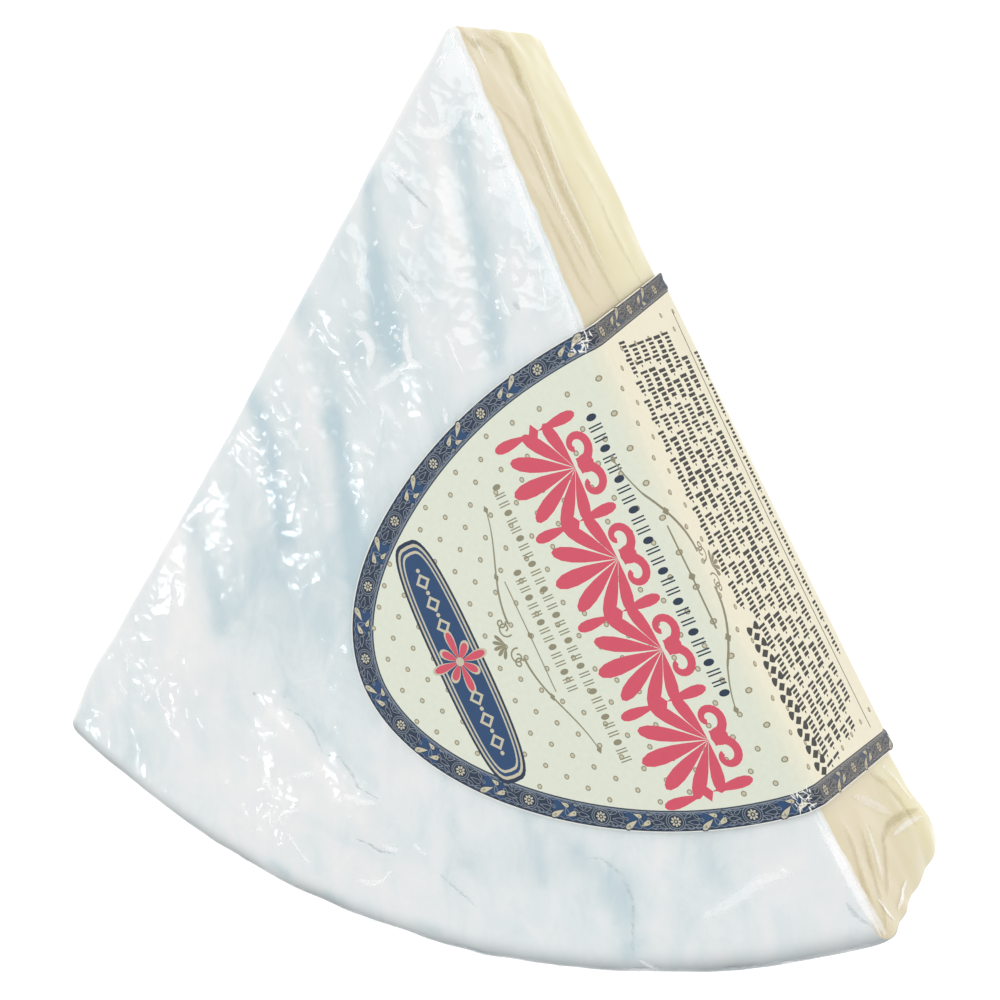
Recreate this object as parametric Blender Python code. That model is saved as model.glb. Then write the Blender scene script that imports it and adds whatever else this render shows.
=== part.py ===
"""A cut wedge of soft white cheese in clear film, with a paper label folded over one cut edge.

The wedge points along +Y, its rim faces -Y and it rests on Z = 0. Shapes are worked out from
the point of the wedge, where its two cut faces would meet, and are centred over the origin last.
"""
import math

import bmesh
import bpy
import numpy as np

MM = 0.001

# The wheel that the wedge is cut from, and the cut
WHEEL_RADIUS = 160 * MM
WEDGE_ANGLE = math.radians(62.5)
POINT_HEIGHT = 34.8 * MM
RIM_HEIGHT = 41 * MM
RIM_BATTER = 0.008           # share of the radius that the rim loses from its top to its foot

# Roundings
POINT_ROUND = 1.5 * MM       # in plan, at the point
CORNER_ROUND = 1.8 * MM      # in plan, where the cut faces meet the rim
CUT_EDGE_ROUND = 1.8 * MM    # top edge of the cut faces
RIM_EDGE_ROUND = 5 * MM      # top edge of the rim
RIM_EDGE_REACH = 16 * MM     # how far in from the rim the cut edges take up its larger rounding
FOOT_ROUND = 2.5 * MM        # bottom edge all round

# How the soft paste gives way
LABEL_FACE_BOW = (0.8 * MM, 2.6 * MM)   # how far the foot and the top of a face draw in at mid length
PLAIN_FACE_BOW = (0.8 * MM, 1.0 * MM)
BOW_POWER = 1.5              # the bows are fuller at mid length than a sine
BOW_REACH = 50 * MM          # how far in from the face the bow dies out
FOLD_SHARE = 0.6             # height of the fold along a cut face, as a share of the whole
FOLD_BREADTH = 0.08
FOLD_DEPTH = 0.6 * MM
BELLY = 0.7 * MM             # how far the paste below the fold stands out
BELLY_TOP = 0.2              # shares of the height over which the belly rises and dies out
BELLY_FOOT = 0.15
RACK_TURN = math.radians(16)  # direction of the draining rack's marks, from -Y towards +X
RACK_MARKS = (4.1 * MM, 23.2 * MM, 37 * MM, 55 * MM, 70.2 * MM)   # how far across the rack's bars lay
RACK_DEPTH = 0.45 * MM
RACK_WIDTH = 3.2 * MM
RACK_FROM = (10 * MM, 30 * MM)    # distances from the point over which the marks begin and end
RACK_TO = (125 * MM, 150 * MM)
BULGE_ALONG = 154 * MM       # the soft foot of the labelled face stands out next to the rim
BULGE_LENGTH = 5 * MM
BULGE_DEPTH = 1.7 * MM
BULGE_HEIGHTS = (8 * MM, 24 * MM)   # over which it dies out
SWELL = 0.5 * MM             # broad unevenness of the rind
SHORT_SWELL = (13 * MM, 17 * MM)  # lengths that set its waves, across and along
LONG_SWELL = (29 * MM, 23 * MM)
RIM_LUMP = 0.25 * MM
RIM_LUMP_TURNS = (21, 34)    # waves round the whole wheel of its broad and its small lumps
SETTLE_RINGS = 1.5           # rings over which the top's relief starts at its edge

# Hollows pressed into the top: x and y from the point, radius, depth
DENTS = (
    (56 * MM, -128 * MM, 11 * MM, 1.1 * MM),
    (28 * MM, -141 * MM, 9 * MM, 0.9 * MM),
    (-36 * MM, -128 * MM, 14 * MM, 0.8 * MM),
    (-9 * MM, -26 * MM, 8 * MM, 0.6 * MM),
    (-14 * MM, -60 * MM, 10 * MM, 0.6 * MM),
)

# The label, by its distance along the cut edge from the point and its depth across the edge
LABEL_LEFT = 53.2 * MM
LABEL_TIP = 91.1 * MM        # where it reaches furthest over the top
LABEL_RIGHT = 134.8 * MM
LABEL_REACH = 68 * MM        # how far it reaches over the top
LABEL_LEFT_POWER = 2.0       # its left shoulder is an ellipse and its right one a little flatter
LABEL_RIGHT_POWER = 1.85
LABEL_FLARE = 0.15           # how its side edges spread, for each unit down the face
LABEL_GAP = 0.35 * MM
LABEL_THICKNESS = 0.35 * MM
LABEL_TUCK = math.radians(45)  # how far round the foot's rounding it turns
LABEL_CLEAR = 8 * MM         # the rind is smooth for this far round the label

# How finely the shapes are divided
CUT_STEPS = 40
RIM_STEPS = 46
POINT_STEPS = 4
CORNER_STEPS = 4
EDGE_STEPS = 3
WALL_STEPS = 8
TOP_STEPS = 13
BASE_STEPS = 4
CORE_SHARE = 0.12            # the innermost ring, as a share of the outline
LABEL_COLUMNS = 15
LABEL_TOP_ROWS = 11
LABEL_FOLD_ROWS = 4
LABEL_WALL_ROWS = 9
LABEL_TUCK_ROWS = 2
SHARP_ANGLE = math.radians(50)

HALF_ANGLE = WEDGE_ANGLE / 2
CUT_ALONG = np.array((math.sin(HALF_ANGLE), -math.cos(HALF_ANGLE)))   # labelled face, from the point
CUT_OUTWARD = np.array((math.cos(HALF_ANGLE), math.sin(HALF_ANGLE)))
INRADIUS = WHEEL_RADIUS * math.sin(HALF_ANGLE) / (1 + math.sin(HALF_ANGLE))
INCENTRE = np.array((0, INRADIUS - WHEEL_RADIUS))


def smooth(value, low, high):
    """Rises smoothly from 0 at low to 1 at high."""
    share = np.clip((value - low) / (high - low), 0, 1)
    return share * share * (3 - 2 * share)


def on_circle(centre, radius, turn):
    """Points of a circle in plan, at one or more turns from +X."""
    return np.asarray(centre) + radius * np.stack((np.cos(turn), np.sin(turn)), axis=-1)


def arc(centre, radius, start, end, steps):
    """Points along an arc in plan, without its last one."""
    return on_circle(centre, radius, np.linspace(start, end, steps, endpoint=False))


def line(start, end, steps):
    """Points along a straight line in plan, without its last one."""
    share = np.linspace(0, 1, steps, endpoint=False)[:, None]
    return start + (end - start) * share


def wedge_outline():
    """The wedge's plan, anticlockwise from its point, with how much of each point is rim."""
    down = 1.5 * math.pi
    corner_reach = WHEEL_RADIUS - CORNER_ROUND
    rim_half = HALF_ANGLE - math.asin(CORNER_ROUND / corner_reach)
    left_normal = math.pi - HALF_ANGLE
    right_normal = 2 * math.pi + HALF_ANGLE
    left_corner = corner_reach * np.array((-math.sin(rim_half), -math.cos(rim_half)))
    right_corner = left_corner * (-1, 1)
    tip_centre = np.array((0, -POINT_ROUND / math.sin(HALF_ANGLE)))
    tip = arc(tip_centre, POINT_ROUND, HALF_ANGLE, left_normal, POINT_STEPS)
    left_turn = arc(left_corner, CORNER_ROUND, left_normal, down - rim_half, CORNER_STEPS)
    rim = arc((0, 0), WHEEL_RADIUS, down - rim_half, down + rim_half, RIM_STEPS)
    right_turn = arc(right_corner, CORNER_ROUND, down + rim_half, right_normal, CORNER_STEPS)
    left_cut = line(on_circle(tip_centre, POINT_ROUND, left_normal), left_turn[0], CUT_STEPS)
    right_cut = line(on_circle(right_corner, CORNER_ROUND, right_normal), tip[0], CUT_STEPS)
    rising = np.linspace(0, 1, CORNER_STEPS, endpoint=False)
    shares = (
        np.zeros(POINT_STEPS + CUT_STEPS),
        rising,
        np.ones(RIM_STEPS),
        1 - rising,
        np.zeros(CUT_STEPS),
    )
    points = np.concatenate((tip, left_cut, left_turn, rim, right_turn, right_cut))
    return points, np.concatenate(shares)


def top_height(plan):
    """Height of the flat top, which rises from the point to the rim."""
    return POINT_HEIGHT + (RIM_HEIGHT - POINT_HEIGHT) * -plan[..., 1] / WHEEL_RADIUS


def label_half_width(depth, half_width, power):
    """How far the label's outline stands from its tip's line, at a depth in over the top."""
    share = np.clip(depth / LABEL_REACH, 0, 1)
    return half_width * (1 - share**power) ** (1 / power)


def label_span(depth):
    """The label's two side edges along the cut edge, at a depth over the top or, below 0, down the face."""
    over = np.maximum(depth, 0)
    under = np.maximum(-depth, 0)
    left = LABEL_TIP - label_half_width(over, LABEL_TIP - LABEL_LEFT, LABEL_LEFT_POWER)
    right = LABEL_TIP + label_half_width(over, LABEL_RIGHT - LABEL_TIP, LABEL_RIGHT_POWER)
    return left - LABEL_FLARE * under, right + LABEL_FLARE * under


def outside_label(along, depth):
    """0 under the label and 1 well clear of it."""
    left, right = label_span(depth)
    beside = np.maximum(left - along, along - right)
    beyond = np.maximum(depth - LABEL_REACH, 0)
    return smooth(np.maximum(beside, beyond), 0, LABEL_CLEAR)


def rind_relief(plan):
    """Height that the rind's rack marks, swells and dents add to the flat top."""
    x, y = plan[..., 0], plan[..., 1]
    across = -x * math.cos(RACK_TURN) - y * math.sin(RACK_TURN)
    marks = sum(-RACK_DEPTH * np.exp(-(((across - mark) / RACK_WIDTH) ** 2)) for mark in RACK_MARKS)
    marks = marks * smooth(-y, *RACK_FROM) * (1 - smooth(-y, *RACK_TO))
    short_swell = np.sin(x / SHORT_SWELL[0] + 0.6) * np.sin(y / SHORT_SWELL[1] + 1.1)
    long_swell = np.sin(x / LONG_SWELL[0] - y / LONG_SWELL[1])
    relief = marks + SWELL * (short_swell + long_swell) / 2
    for dent_x, dent_y, radius, depth in DENTS:
        relief = relief - depth * np.exp(-((x - dent_x) ** 2 + (y - dent_y) ** 2) / radius**2)
    along = plan @ CUT_ALONG
    return relief * outside_label(along, -plan @ CUT_OUTWARD)


def face_offset(along, height_share, bow):
    """How far a cut face stands in from its plane, by its bow and by its fine relief."""
    foot_bow, top_bow = bow
    lengthways = np.sin(math.pi * np.clip(along / WHEEL_RADIUS, 0, 1)) ** BOW_POWER
    fold = FOLD_DEPTH * np.exp(-(((height_share - FOLD_SHARE) / FOLD_BREADTH) ** 2))
    belly = BELLY * smooth(FOLD_SHARE - height_share, 0, BELLY_TOP) * smooth(height_share, 0, BELLY_FOOT)
    return (foot_bow + (top_bow - foot_bow) * height_share) * lengthways, (fold - belly) * lengthways


def give_way(plan, height, fine=True):
    """Moves plan points in from the two cut faces, as the soft paste does."""
    moved = plan.copy()
    height_share = np.clip(height / top_height(plan), 0, 1)
    for side, bow in ((1, LABEL_FACE_BOW), (-1, PLAIN_FACE_BOW)):
        outward = CUT_OUTWARD * (side, 1)
        along = plan @ (CUT_ALONG * (side, 1))
        depth = -plan @ outward
        broad, relief = face_offset(along, height_share, bow)
        if side == 1:
            bulge = BULGE_DEPTH * np.exp(-(((along - BULGE_ALONG) / BULGE_LENGTH) ** 2))
            bulge = bulge * (1 - smooth(height, *BULGE_HEIGHTS))
            relief = relief * outside_label(along, height - top_height(plan)) - bulge
        fade = 1 - smooth(depth, 0, BOW_REACH)
        moved = moved - outward * ((broad + relief * fine) * fade)[..., None]
    return moved


def rim_swell(plan, rim_share):
    """How far the rim's lumps stand out, at points of the outline."""
    turn = np.arctan2(plan[..., 0], -plan[..., 1])
    broad, small = (np.sin(turn * turns) for turns in RIM_LUMP_TURNS)
    return RIM_LUMP * rim_share * (broad + small) / 2


def ring(outline, rim_share, inset, height):
    """One ring of the wedge: the outline set in by an amount, at a height for each point."""
    share = 1 - RIM_BATTER * (1 - np.clip(height / RIM_HEIGHT, 0, 1)) * rim_share
    plan = outline * share[:, None]
    distance = np.linalg.norm(outline, axis=1)
    plan = plan * (1 + rim_swell(outline, rim_share) / distance)[:, None]
    plan = INCENTRE + (plan - INCENTRE) * (1 - inset / INRADIUS)[:, None]
    plan = give_way(plan, height)
    return np.column_stack((plan, height))


def wedge_rings():
    """The wedge's rings from the middle of its base, up its sides, to the middle of its top."""
    outline, rim_share = wedge_outline()
    near_rim = smooth(np.linalg.norm(outline, axis=1), WHEEL_RADIUS - RIM_EDGE_REACH, WHEEL_RADIUS)
    edge = CUT_EDGE_ROUND + (RIM_EDGE_ROUND - CUT_EDGE_ROUND) * near_rim
    top = top_height(outline)
    full = INRADIUS * (1 - CORE_SHARE)
    rings = []
    for share in np.linspace(1, 0, BASE_STEPS, endpoint=False):
        inset = FOOT_ROUND + (full - FOOT_ROUND) * share
        rings.append(ring(outline, rim_share, np.full_like(edge, inset), np.zeros_like(edge)))
    for turn in np.linspace(0, math.pi / 2, EDGE_STEPS, endpoint=False):
        inset = FOOT_ROUND * (1 - math.sin(turn))
        height = FOOT_ROUND * (1 - math.cos(turn))
        rings.append(ring(outline, rim_share, np.full_like(edge, inset), np.full_like(edge, height)))
    for share in np.linspace(0, 1, WALL_STEPS, endpoint=False):
        height = FOOT_ROUND + (top - edge - FOOT_ROUND) * share
        rings.append(ring(outline, rim_share, np.zeros_like(edge), height))
    for turn in np.linspace(0, math.pi / 2, EDGE_STEPS, endpoint=False):
        inset = edge * (1 - math.cos(turn))
        height = top - edge * (1 - math.sin(turn))
        rings.append(ring(outline, rim_share, inset, height))
    for share in np.linspace(0, 1, TOP_STEPS):
        placed = ring(outline, rim_share, edge + (full - edge) * share, top)
        settle = smooth(share, 0, SETTLE_RINGS / TOP_STEPS)
        placed[:, 2] = top_height(placed[:, :2]) + rind_relief(placed[:, :2]) * settle
        rings.append(placed)
    return rings


def label_profile():
    """The label's rows, from near its tip to its tucked edge.

    A row is its distance in from the face, the share of the top's height that it rises with, its
    height above that share, and which way the label faces there, inwards and up.
    """
    rows = []
    for turn in np.linspace(math.pi / 2, 0, LABEL_TOP_ROWS, endpoint=False)[1:]:
        inward = CUT_EDGE_ROUND + (LABEL_REACH - CUT_EDGE_ROUND) * math.sin(turn)
        rows.append((inward, 1, 0, 0, 1))
    for turn in np.linspace(0, math.pi / 2, LABEL_FOLD_ROWS, endpoint=False):
        side, up = math.sin(turn), math.cos(turn)
        rows.append((CUT_EDGE_ROUND * (1 - side), 1, CUT_EDGE_ROUND * (up - 1), -side, up))
    for share in np.linspace(0, 1, LABEL_WALL_ROWS, endpoint=False):
        rows.append((0, 1 - share, FOOT_ROUND * share - CUT_EDGE_ROUND * (1 - share), -1, 0))
    for turn in np.linspace(0, LABEL_TUCK, LABEL_TUCK_ROWS):
        side, down = math.cos(turn), math.sin(turn)
        rows.append((FOOT_ROUND * (1 - side), 0, FOOT_ROUND * (1 - down), -side, -down))
    return rows


def label_points(row, along, lift):
    """Points of the label on one row of its profile, at distances along the cut edge."""
    inward, share, above, facing_in, facing_up = row
    plan = along[:, None] * CUT_ALONG - CUT_OUTWARD * inward
    height = top_height(plan) * share + above
    plan = plan - CUT_OUTWARD * facing_in * lift
    height = height + facing_up * lift
    return np.column_stack((give_way(plan, height, fine=False), height))


def label_rows(lift):
    """Rows of the label's points at a lift over the wedge, from its tip down."""
    middle_height = float(top_height(CUT_ALONG * LABEL_TIP))
    rows = [label_points((LABEL_REACH, 1, 0, 0, 1), np.array([LABEL_TIP]), lift)]
    for row in label_profile():
        inward, share, above = row[:3]
        drop = middle_height * (1 - share) - above
        left, right = label_span(inward - drop)
        rows.append(label_points(row, np.linspace(left, right, LABEL_COLUMNS), lift))
    return rows


def add_ring_vertices(mesh, points):
    """Adds one ring of vertices."""
    return [mesh.verts.new(point) for point in points]


def bridge(mesh, lower, upper):
    """Quads between two closed rings of vertices, facing out when lower lies under upper."""
    for index, corner in enumerate(lower):
        following = (index + 1) % len(lower)
        mesh.faces.new((corner, lower[following], upper[following], upper[index]))


def close_ring(mesh, vertices, centre, upward):
    """Closes a ring with a fan of triangles about a centre."""
    hub = mesh.verts.new(centre)
    for index, corner in enumerate(vertices):
        following = vertices[(index + 1) % len(vertices)]
        mesh.faces.new((corner, following, hub) if upward else (following, corner, hub))


def wedge_mesh():
    """The wedge as one closed body."""
    mesh = bmesh.new()
    rings = wedge_rings()
    vertices = [add_ring_vertices(mesh, points) for points in rings]
    for lower, upper in zip(vertices, vertices[1:]):
        bridge(mesh, lower, upper)
    close_ring(mesh, vertices[0], rings[0].mean(axis=0), upward=False)
    close_ring(mesh, vertices[-1], rings[-1].mean(axis=0), upward=True)
    bmesh.ops.triangulate(mesh, faces=mesh.faces, quad_method="SHORT_EDGE")
    return mesh


def label_triangles(rows):
    """One face of the label as triangles, its single tip point first, facing up and outwards."""
    tip, first = rows[0][0], rows[1]
    triangles = [(tip, far, near) for near, far in zip(first, first[1:])]
    for upper, lower in zip(rows[1:], rows[2:]):
        for index in range(LABEL_COLUMNS - 1):
            triangles.append((upper[index], lower[index + 1], lower[index]))
            triangles.append((upper[index], upper[index + 1], lower[index + 1]))
    return triangles


def label_border(rows):
    """The label's outer vertices, anticlockwise seen from outside."""
    left = [row[0] for row in rows[1:]]
    right = [row[-1] for row in rows]
    return [*right, *reversed(rows[-1][1:-1]), *reversed(left)]


def label_mesh():
    """The label as one thin closed body, with both faces split into triangles alike."""
    mesh = bmesh.new()
    inner, outer = (
        [add_ring_vertices(mesh, row) for row in label_rows(lift)]
        for lift in (LABEL_GAP, LABEL_GAP + LABEL_THICKNESS)
    )
    for triangle in label_triangles(inner):
        mesh.faces.new(triangle[::-1])
    for triangle in label_triangles(outer):
        mesh.faces.new(triangle)
    bridge(mesh, label_border(inner), label_border(outer))
    bmesh.ops.triangulate(mesh, faces=[face for face in mesh.faces if len(face.verts) > 3])
    return mesh


def painted(name, colour, roughness):
    """A plain material with a colour and a roughness."""
    material = bpy.data.materials.new(name)
    material.use_nodes = True
    shader = material.node_tree.nodes["Principled BSDF"]
    shader.inputs["Base Color"].default_value = (*colour, 1)
    shader.inputs["Roughness"].default_value = roughness
    shader.inputs["Metallic"].default_value = 0
    return material


def place(name, mesh, material, centre):
    """Adds a finished body to the scene, shaded smooth and moved so that the centre is over the origin."""
    data = bpy.data.meshes.new(name)
    mesh.to_mesh(data)
    mesh.free()
    data.materials.append(material)
    body = bpy.data.objects.new(name, data)
    body.location = (-centre[0], -centre[1], 0)
    bpy.context.collection.objects.link(body)
    data.shade_smooth()
    data.set_sharp_from_angle(angle=SHARP_ANGLE)
    return body


def box_middle(meshes):
    """Middle in plan of the box round all the meshes."""
    points = np.array([vertex.co for mesh in meshes for vertex in mesh.verts])
    return (points.min(axis=0) + points.max(axis=0)) / 2


def main():
    for leftover in list(bpy.data.objects):
        bpy.data.objects.remove(leftover)
    wedge = wedge_mesh()
    label = label_mesh()
    centre = box_middle((wedge, label))
    place("wrapped_wedge", wedge, painted("cheese_in_film", (0.78, 0.81, 0.79), 0.3), centre)
    place("label", label, painted("label_paper", (0.66, 0.70, 0.58), 0.35), centre)


main()
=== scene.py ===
"""A wedge of soft white-rind cheese in clear film, with a paper label folded over one cut edge.

The cheese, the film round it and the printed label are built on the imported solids. Plan places are
worked out from the point of the wedge, where its two cut faces would meet, with the rim towards -Y.
"""
import math
import random

import bpy
import numpy as np
from mathutils import Matrix, Vector, noise
from mathutils.bvhtree import BVHTree
from mathutils.geometry import delaunay_2d_cdt


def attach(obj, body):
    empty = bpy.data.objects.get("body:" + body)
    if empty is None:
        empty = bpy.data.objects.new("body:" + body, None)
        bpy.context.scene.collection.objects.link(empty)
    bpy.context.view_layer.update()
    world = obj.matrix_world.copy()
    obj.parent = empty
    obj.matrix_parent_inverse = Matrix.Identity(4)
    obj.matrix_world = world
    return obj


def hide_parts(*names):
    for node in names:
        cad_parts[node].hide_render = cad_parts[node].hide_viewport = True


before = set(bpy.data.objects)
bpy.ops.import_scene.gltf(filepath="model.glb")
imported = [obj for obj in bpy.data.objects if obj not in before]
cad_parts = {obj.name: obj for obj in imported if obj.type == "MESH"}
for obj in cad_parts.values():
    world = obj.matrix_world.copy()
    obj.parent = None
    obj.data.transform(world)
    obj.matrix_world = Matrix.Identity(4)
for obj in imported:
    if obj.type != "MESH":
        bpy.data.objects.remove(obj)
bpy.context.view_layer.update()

MM = 0.001

# The wheel that the wedge is cut from, and the cut
WHEEL_RADIUS = 160 * MM
HALF_ANGLE = math.radians(62.5) / 2
POINT_HEIGHT = 34.8 * MM
RIM_HEIGHT = 41 * MM
RIM_RISE = RIM_HEIGHT - POINT_HEIGHT
POINT_ROUND = 1.5 * MM
CUT_EDGE_ROUND = 1.8 * MM    # top edge of the cut faces
FOOT_ROUND = 2.5 * MM
LABEL_FACE_BOW = (0.8 * MM, 2.6 * MM)   # how far the foot and the top of a face draw in at mid length
PLAIN_FACE_BOW = (0.8 * MM, 1.0 * MM)
BOW_POWER = 1.5
BOW_REACH = 50 * MM

CUT_ALONG = np.array((math.sin(HALF_ANGLE), -math.cos(HALF_ANGLE)))   # labelled face, from the point
CUT_OUTWARD = np.array((math.cos(HALF_ANGLE), math.sin(HALF_ANGLE)))
TIP = max((corner.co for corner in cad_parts["wrapped_wedge"].data.vertices), key=lambda place: place.y)
POINT = np.array((TIP.x, TIP.y + POINT_ROUND * (1 / math.sin(HALF_ANGLE) - 1), 0))

# The label, by its distance along the cut edge from the point and its depth across the edge
LABEL_LEFT = 53.2 * MM
LABEL_TIP = 91.1 * MM        # where it reaches furthest over the top
LABEL_RIGHT = 134.8 * MM
LABEL_REACH = 68 * MM
LABEL_LEFT_POWER = 2.0
LABEL_RIGHT_POWER = 1.85
LABEL_FLARE = 0.15           # how its side edges spread, for each unit down the face
LABEL_GAP = 0.35 * MM
LABEL_THICKNESS = 0.35 * MM
LABEL_TUCK = math.radians(45)
LABEL_CLEAR = 8 * MM         # the wrap is smooth for this far round the label
LABEL_MIDDLE_HEIGHT = POINT_HEIGHT + RIM_RISE * LABEL_TIP * math.cos(HALF_ANGLE) / WHEEL_RADIUS
LABEL_FOOT = FOOT_ROUND * (2 - 2 * math.sin(LABEL_TUCK)) - LABEL_MIDDLE_HEIGHT

# The film and the cheese
FILM_LIFT = 0.16 * MM        # how far off the solid the film lies
CHEESE_INSET = 0.05 * MM     # how far inside the solid the cheese stays
STRIP_LIFT = 0.04 * MM       # how far off the film its gathered strips lie
LABEL_STARTS = 6 * MM        # this near a cut face, places are judged by their height, as the label is

# Lengths of the patterns in the finishes, and heights of their relief
MOULD_NAP = 1.6 * MM
MOULD_NAP_HEIGHT = 0.25 * MM
MOULD_CLOUD = 10 * MM
CUT_LINE_WOBBLE = 5 * MM
PASTE_LAYER = 30 * MM
FILM_FACET = 3.6 * MM
FILM_FACET_HEIGHT = 0.5 * MM
FILM_FINE_FOLD = 2.4 * MM
FILM_WARP = 7 * MM
FILM_WARP_REACH = 9 * MM
PAPER_FIBRE = 0.9 * MM
PAPER_FIBRE_HEIGHT = 0.05 * MM
INK_WARMS = (-4 * MM, 3 * MM)   # depths across the cut edge between which the label turns to its side's tone

# Relief of the rind and the paste
BROAD_WAVE = 0.24 * MM
BROAD_WAVE_LENGTH = 10 * MM
SMALL_WAVE = 0.09 * MM
SMALL_WAVE_LENGTH = 4.2 * MM
FOLD_LENGTHS = (8 * MM, 7 * MM)
CREASED_LENGTH = 6.5 * MM
LABELLED_FOLDS = 0.5 * MM    # how deep the folds are on the labelled face, and on the plain one
PLAIN_FOLDS = 0.25 * MM
FAR_CREASED = 0.6            # how far the paste is creased near the rim and near the point, in fold depths
NEAR_CREASED = 1.4
RIM_END = (120 * MM, 140 * MM)    # distances from the point over which each of the two comes and goes
POINT_END = (5 * MM, 18 * MM)
FACE_REACH = (1 * MM, 4 * MM)     # how far in from a cut face its folds die out
TOP_REACH = (1 * MM, 6 * MM)      # how far below the top its soft folds die out

# Tones of the rind and the paste
RIND_RIM = (153 * MM, 159.4 * MM)    # distances from the point over which painted shade darkens the rim's rounded edge
PASTE_REACH = 4.5 * MM               # how far in from a cut face bare paste can lie
PASTE_FACES = (0.45, 0.8)            # how far a face has to look out of the cut to be paste
# Painted shade on the rind's rounded rim edge
RIM_SHADE = 0.95
RIM_SHADE_EDGE = 1.4                  # power that sets how sharply the painted shade begins
RIM_SHADE_SWING = 0.3
RIM_SHADE_LENGTH = 9 * MM
RIM_SHADE_LOW = (30 * MM, 0.6)        # height under which the painted shade fades, and how much of it goes
PASTE_END = (122 * MM, 142 * MM)     # distances along the labelled face over which it turns beige
PASTE_END_DEPTH = 20 * MM
PASTE_END_LAYERS = 0.3               # how much of its layers and painted shade by height fades there
PASTE_END_TONE = 0.34                # and how far its tone moves up the ramp
TONE_FADE = 2.2 * MM                 # how far in from a cut the rack's marks begin
RIND_CLOUDS = 1.1                    # how strongly the rind's fine mottling varies its tone
RIND_TONE = 0.37                     # how blue-grey the rind is away from marks
RIND_TONE_SWING = 0.07
RIND_TONE_LENGTH = 24 * MM
BAND_WEIGHT = 0.85
BAND_EDGE = 2.2                      # power that sets how sharply a band of the rack ends
BAND_WANDER = 0.7 * MM
BAND_WANDER_LENGTH = 13 * MM
LABEL_SHADOW = 0.2                   # painted shadow of the label: how much bluer the rind is right beside it
LABEL_SHADOW_REACH = 2.6 * MM
LABEL_SHADOW_FROM = 12 * MM          # how far in from the cut edge that begins

# How crinkled the film is away from CRINKLED_AREAS, and how much more in chance patches
CRINKLE = 0.2
CRINKLE_PATCH = 0.2
CRINKLE_PATCH_LENGTH = 22 * MM

# The camera, from the point of the wedge
CAMERA_PLACE = (113.87 * MM, -12.88 * MM, 245.65 * MM)
CAMERA_FORWARD = (-0.421680, -0.261519, -0.868213)
CAMERA_UP = (-0.143057, 0.964701, -0.221102)
SENSOR = 36
LENS = 52.97

# Light: each lamp's azimuth and elevation in degrees, its distance, width and height in metres, and
# its power in watts
LAMPS = {
    "key": (112, 60, 2.5, 2.2, 2.2, 24),
    "edge_light": (27, 25, 0.9, 0.62, 0.12, 0.5),
    "glint": (198, 47, 0.8, 0.05, 0.09, 0.15),
    "low_glint": (212, 35, 0.8, 0.05, 0.09, 0.15),
}
SKY_STRENGTH = 0.62
FLOOR_SIZE = 6
FLOOR_GLOW = 0.95


def smooth(value, low, high):
    """Rises smoothly from 0 at low to 1 at high."""
    share = np.clip((value - low) / (high - low), 0, 1)
    return share * share * (3 - 2 * share)


def top_height(plan):
    """Height of the flat top, which rises from the point to the rim."""
    return POINT_HEIGHT + RIM_RISE * -plan[..., 1] / WHEEL_RADIUS


def label_half_width(depth, half_width, power):
    """How far the label's outline stands from its tip's line, at a depth in over the top."""
    share = np.clip(depth / LABEL_REACH, 0, 1)
    return half_width * (1 - share**power) ** (1 / power)


def label_span(depth):
    """The label's two side edges along the cut edge, at a depth over the top or, below 0, down the face."""
    over = np.maximum(depth, 0)
    under = np.maximum(-depth, 0)
    left = LABEL_TIP - label_half_width(over, LABEL_TIP - LABEL_LEFT, LABEL_LEFT_POWER)
    right = LABEL_TIP + label_half_width(over, LABEL_RIGHT - LABEL_TIP, LABEL_RIGHT_POWER)
    return left - LABEL_FLARE * under, right + LABEL_FLARE * under


def outside_label(along, depth):
    """0 under the label and 1 well clear of it."""
    left, right = label_span(depth)
    beside = np.maximum(left - along, along - right)
    beyond = np.maximum(depth - LABEL_REACH, 0)
    return smooth(np.maximum(beside, beyond), 0, LABEL_CLEAR)


def give_way(plan, height):
    """Moves plan points in from the two cut faces, as the bowed solid does."""
    moved = plan.copy()
    height_share = np.clip(height / top_height(plan), 0, 1)
    for side, (foot_bow, top_bow) in ((1, LABEL_FACE_BOW), (-1, PLAIN_FACE_BOW)):
        outward = CUT_OUTWARD * (side, 1)
        along = plan @ (CUT_ALONG * (side, 1))
        lengthways = np.sin(math.pi * np.clip(along / WHEEL_RADIUS, 0, 1)) ** BOW_POWER
        bow = (foot_bow + (top_bow - foot_bow) * height_share) * lengthways
        fade = 1 - smooth(-plan @ outward, 0, BOW_REACH)
        moved = moved - outward * (bow * fade)[..., None]
    return moved


# Materials

WHITE = (1, 1, 1, 1)


def linear(colour):
    """A colour written as sRGB hex, as linear red, green, blue and 1."""
    shares = [int(colour[start:start + 2], 16) / 255 for start in (1, 3, 5)]
    return (*(s / 12.92 if s <= 0.04045 else ((s + 0.055) / 1.055) ** 2.4 for s in shares), 1)


def add_node(tree, kind, settings=None, **inputs):
    """Adds a shader node. An input is a value or another node's output; a number in its name is its index."""
    node = tree.nodes.new("ShaderNode" + kind)
    for name, value in (settings or {}).items():
        setattr(node, name, value)
    for name, value in inputs.items():
        by_index = name[0] == "i" and name[1:].isdigit()
        socket = node.inputs[int(name[1:]) if by_index else name.replace("_", " ")]
        if isinstance(value, bpy.types.NodeSocket):
            tree.links.new(value, socket)
        else:
            socket.default_value = value
    return node


def new_material(name):
    """An empty material, with its tree and output node."""
    material = bpy.data.materials.new(name)
    material.use_nodes = True
    tree = material.node_tree
    tree.nodes.clear()
    return material, tree, add_node(tree, "OutputMaterial")


def colour_mix(tree, share, first, second):
    """The output of a colour mix between two colours."""
    mix = add_node(tree, "Mix", {"data_type": "RGBA"}, i0=share, i6=first, i7=second)
    return mix.outputs[2]


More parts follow.
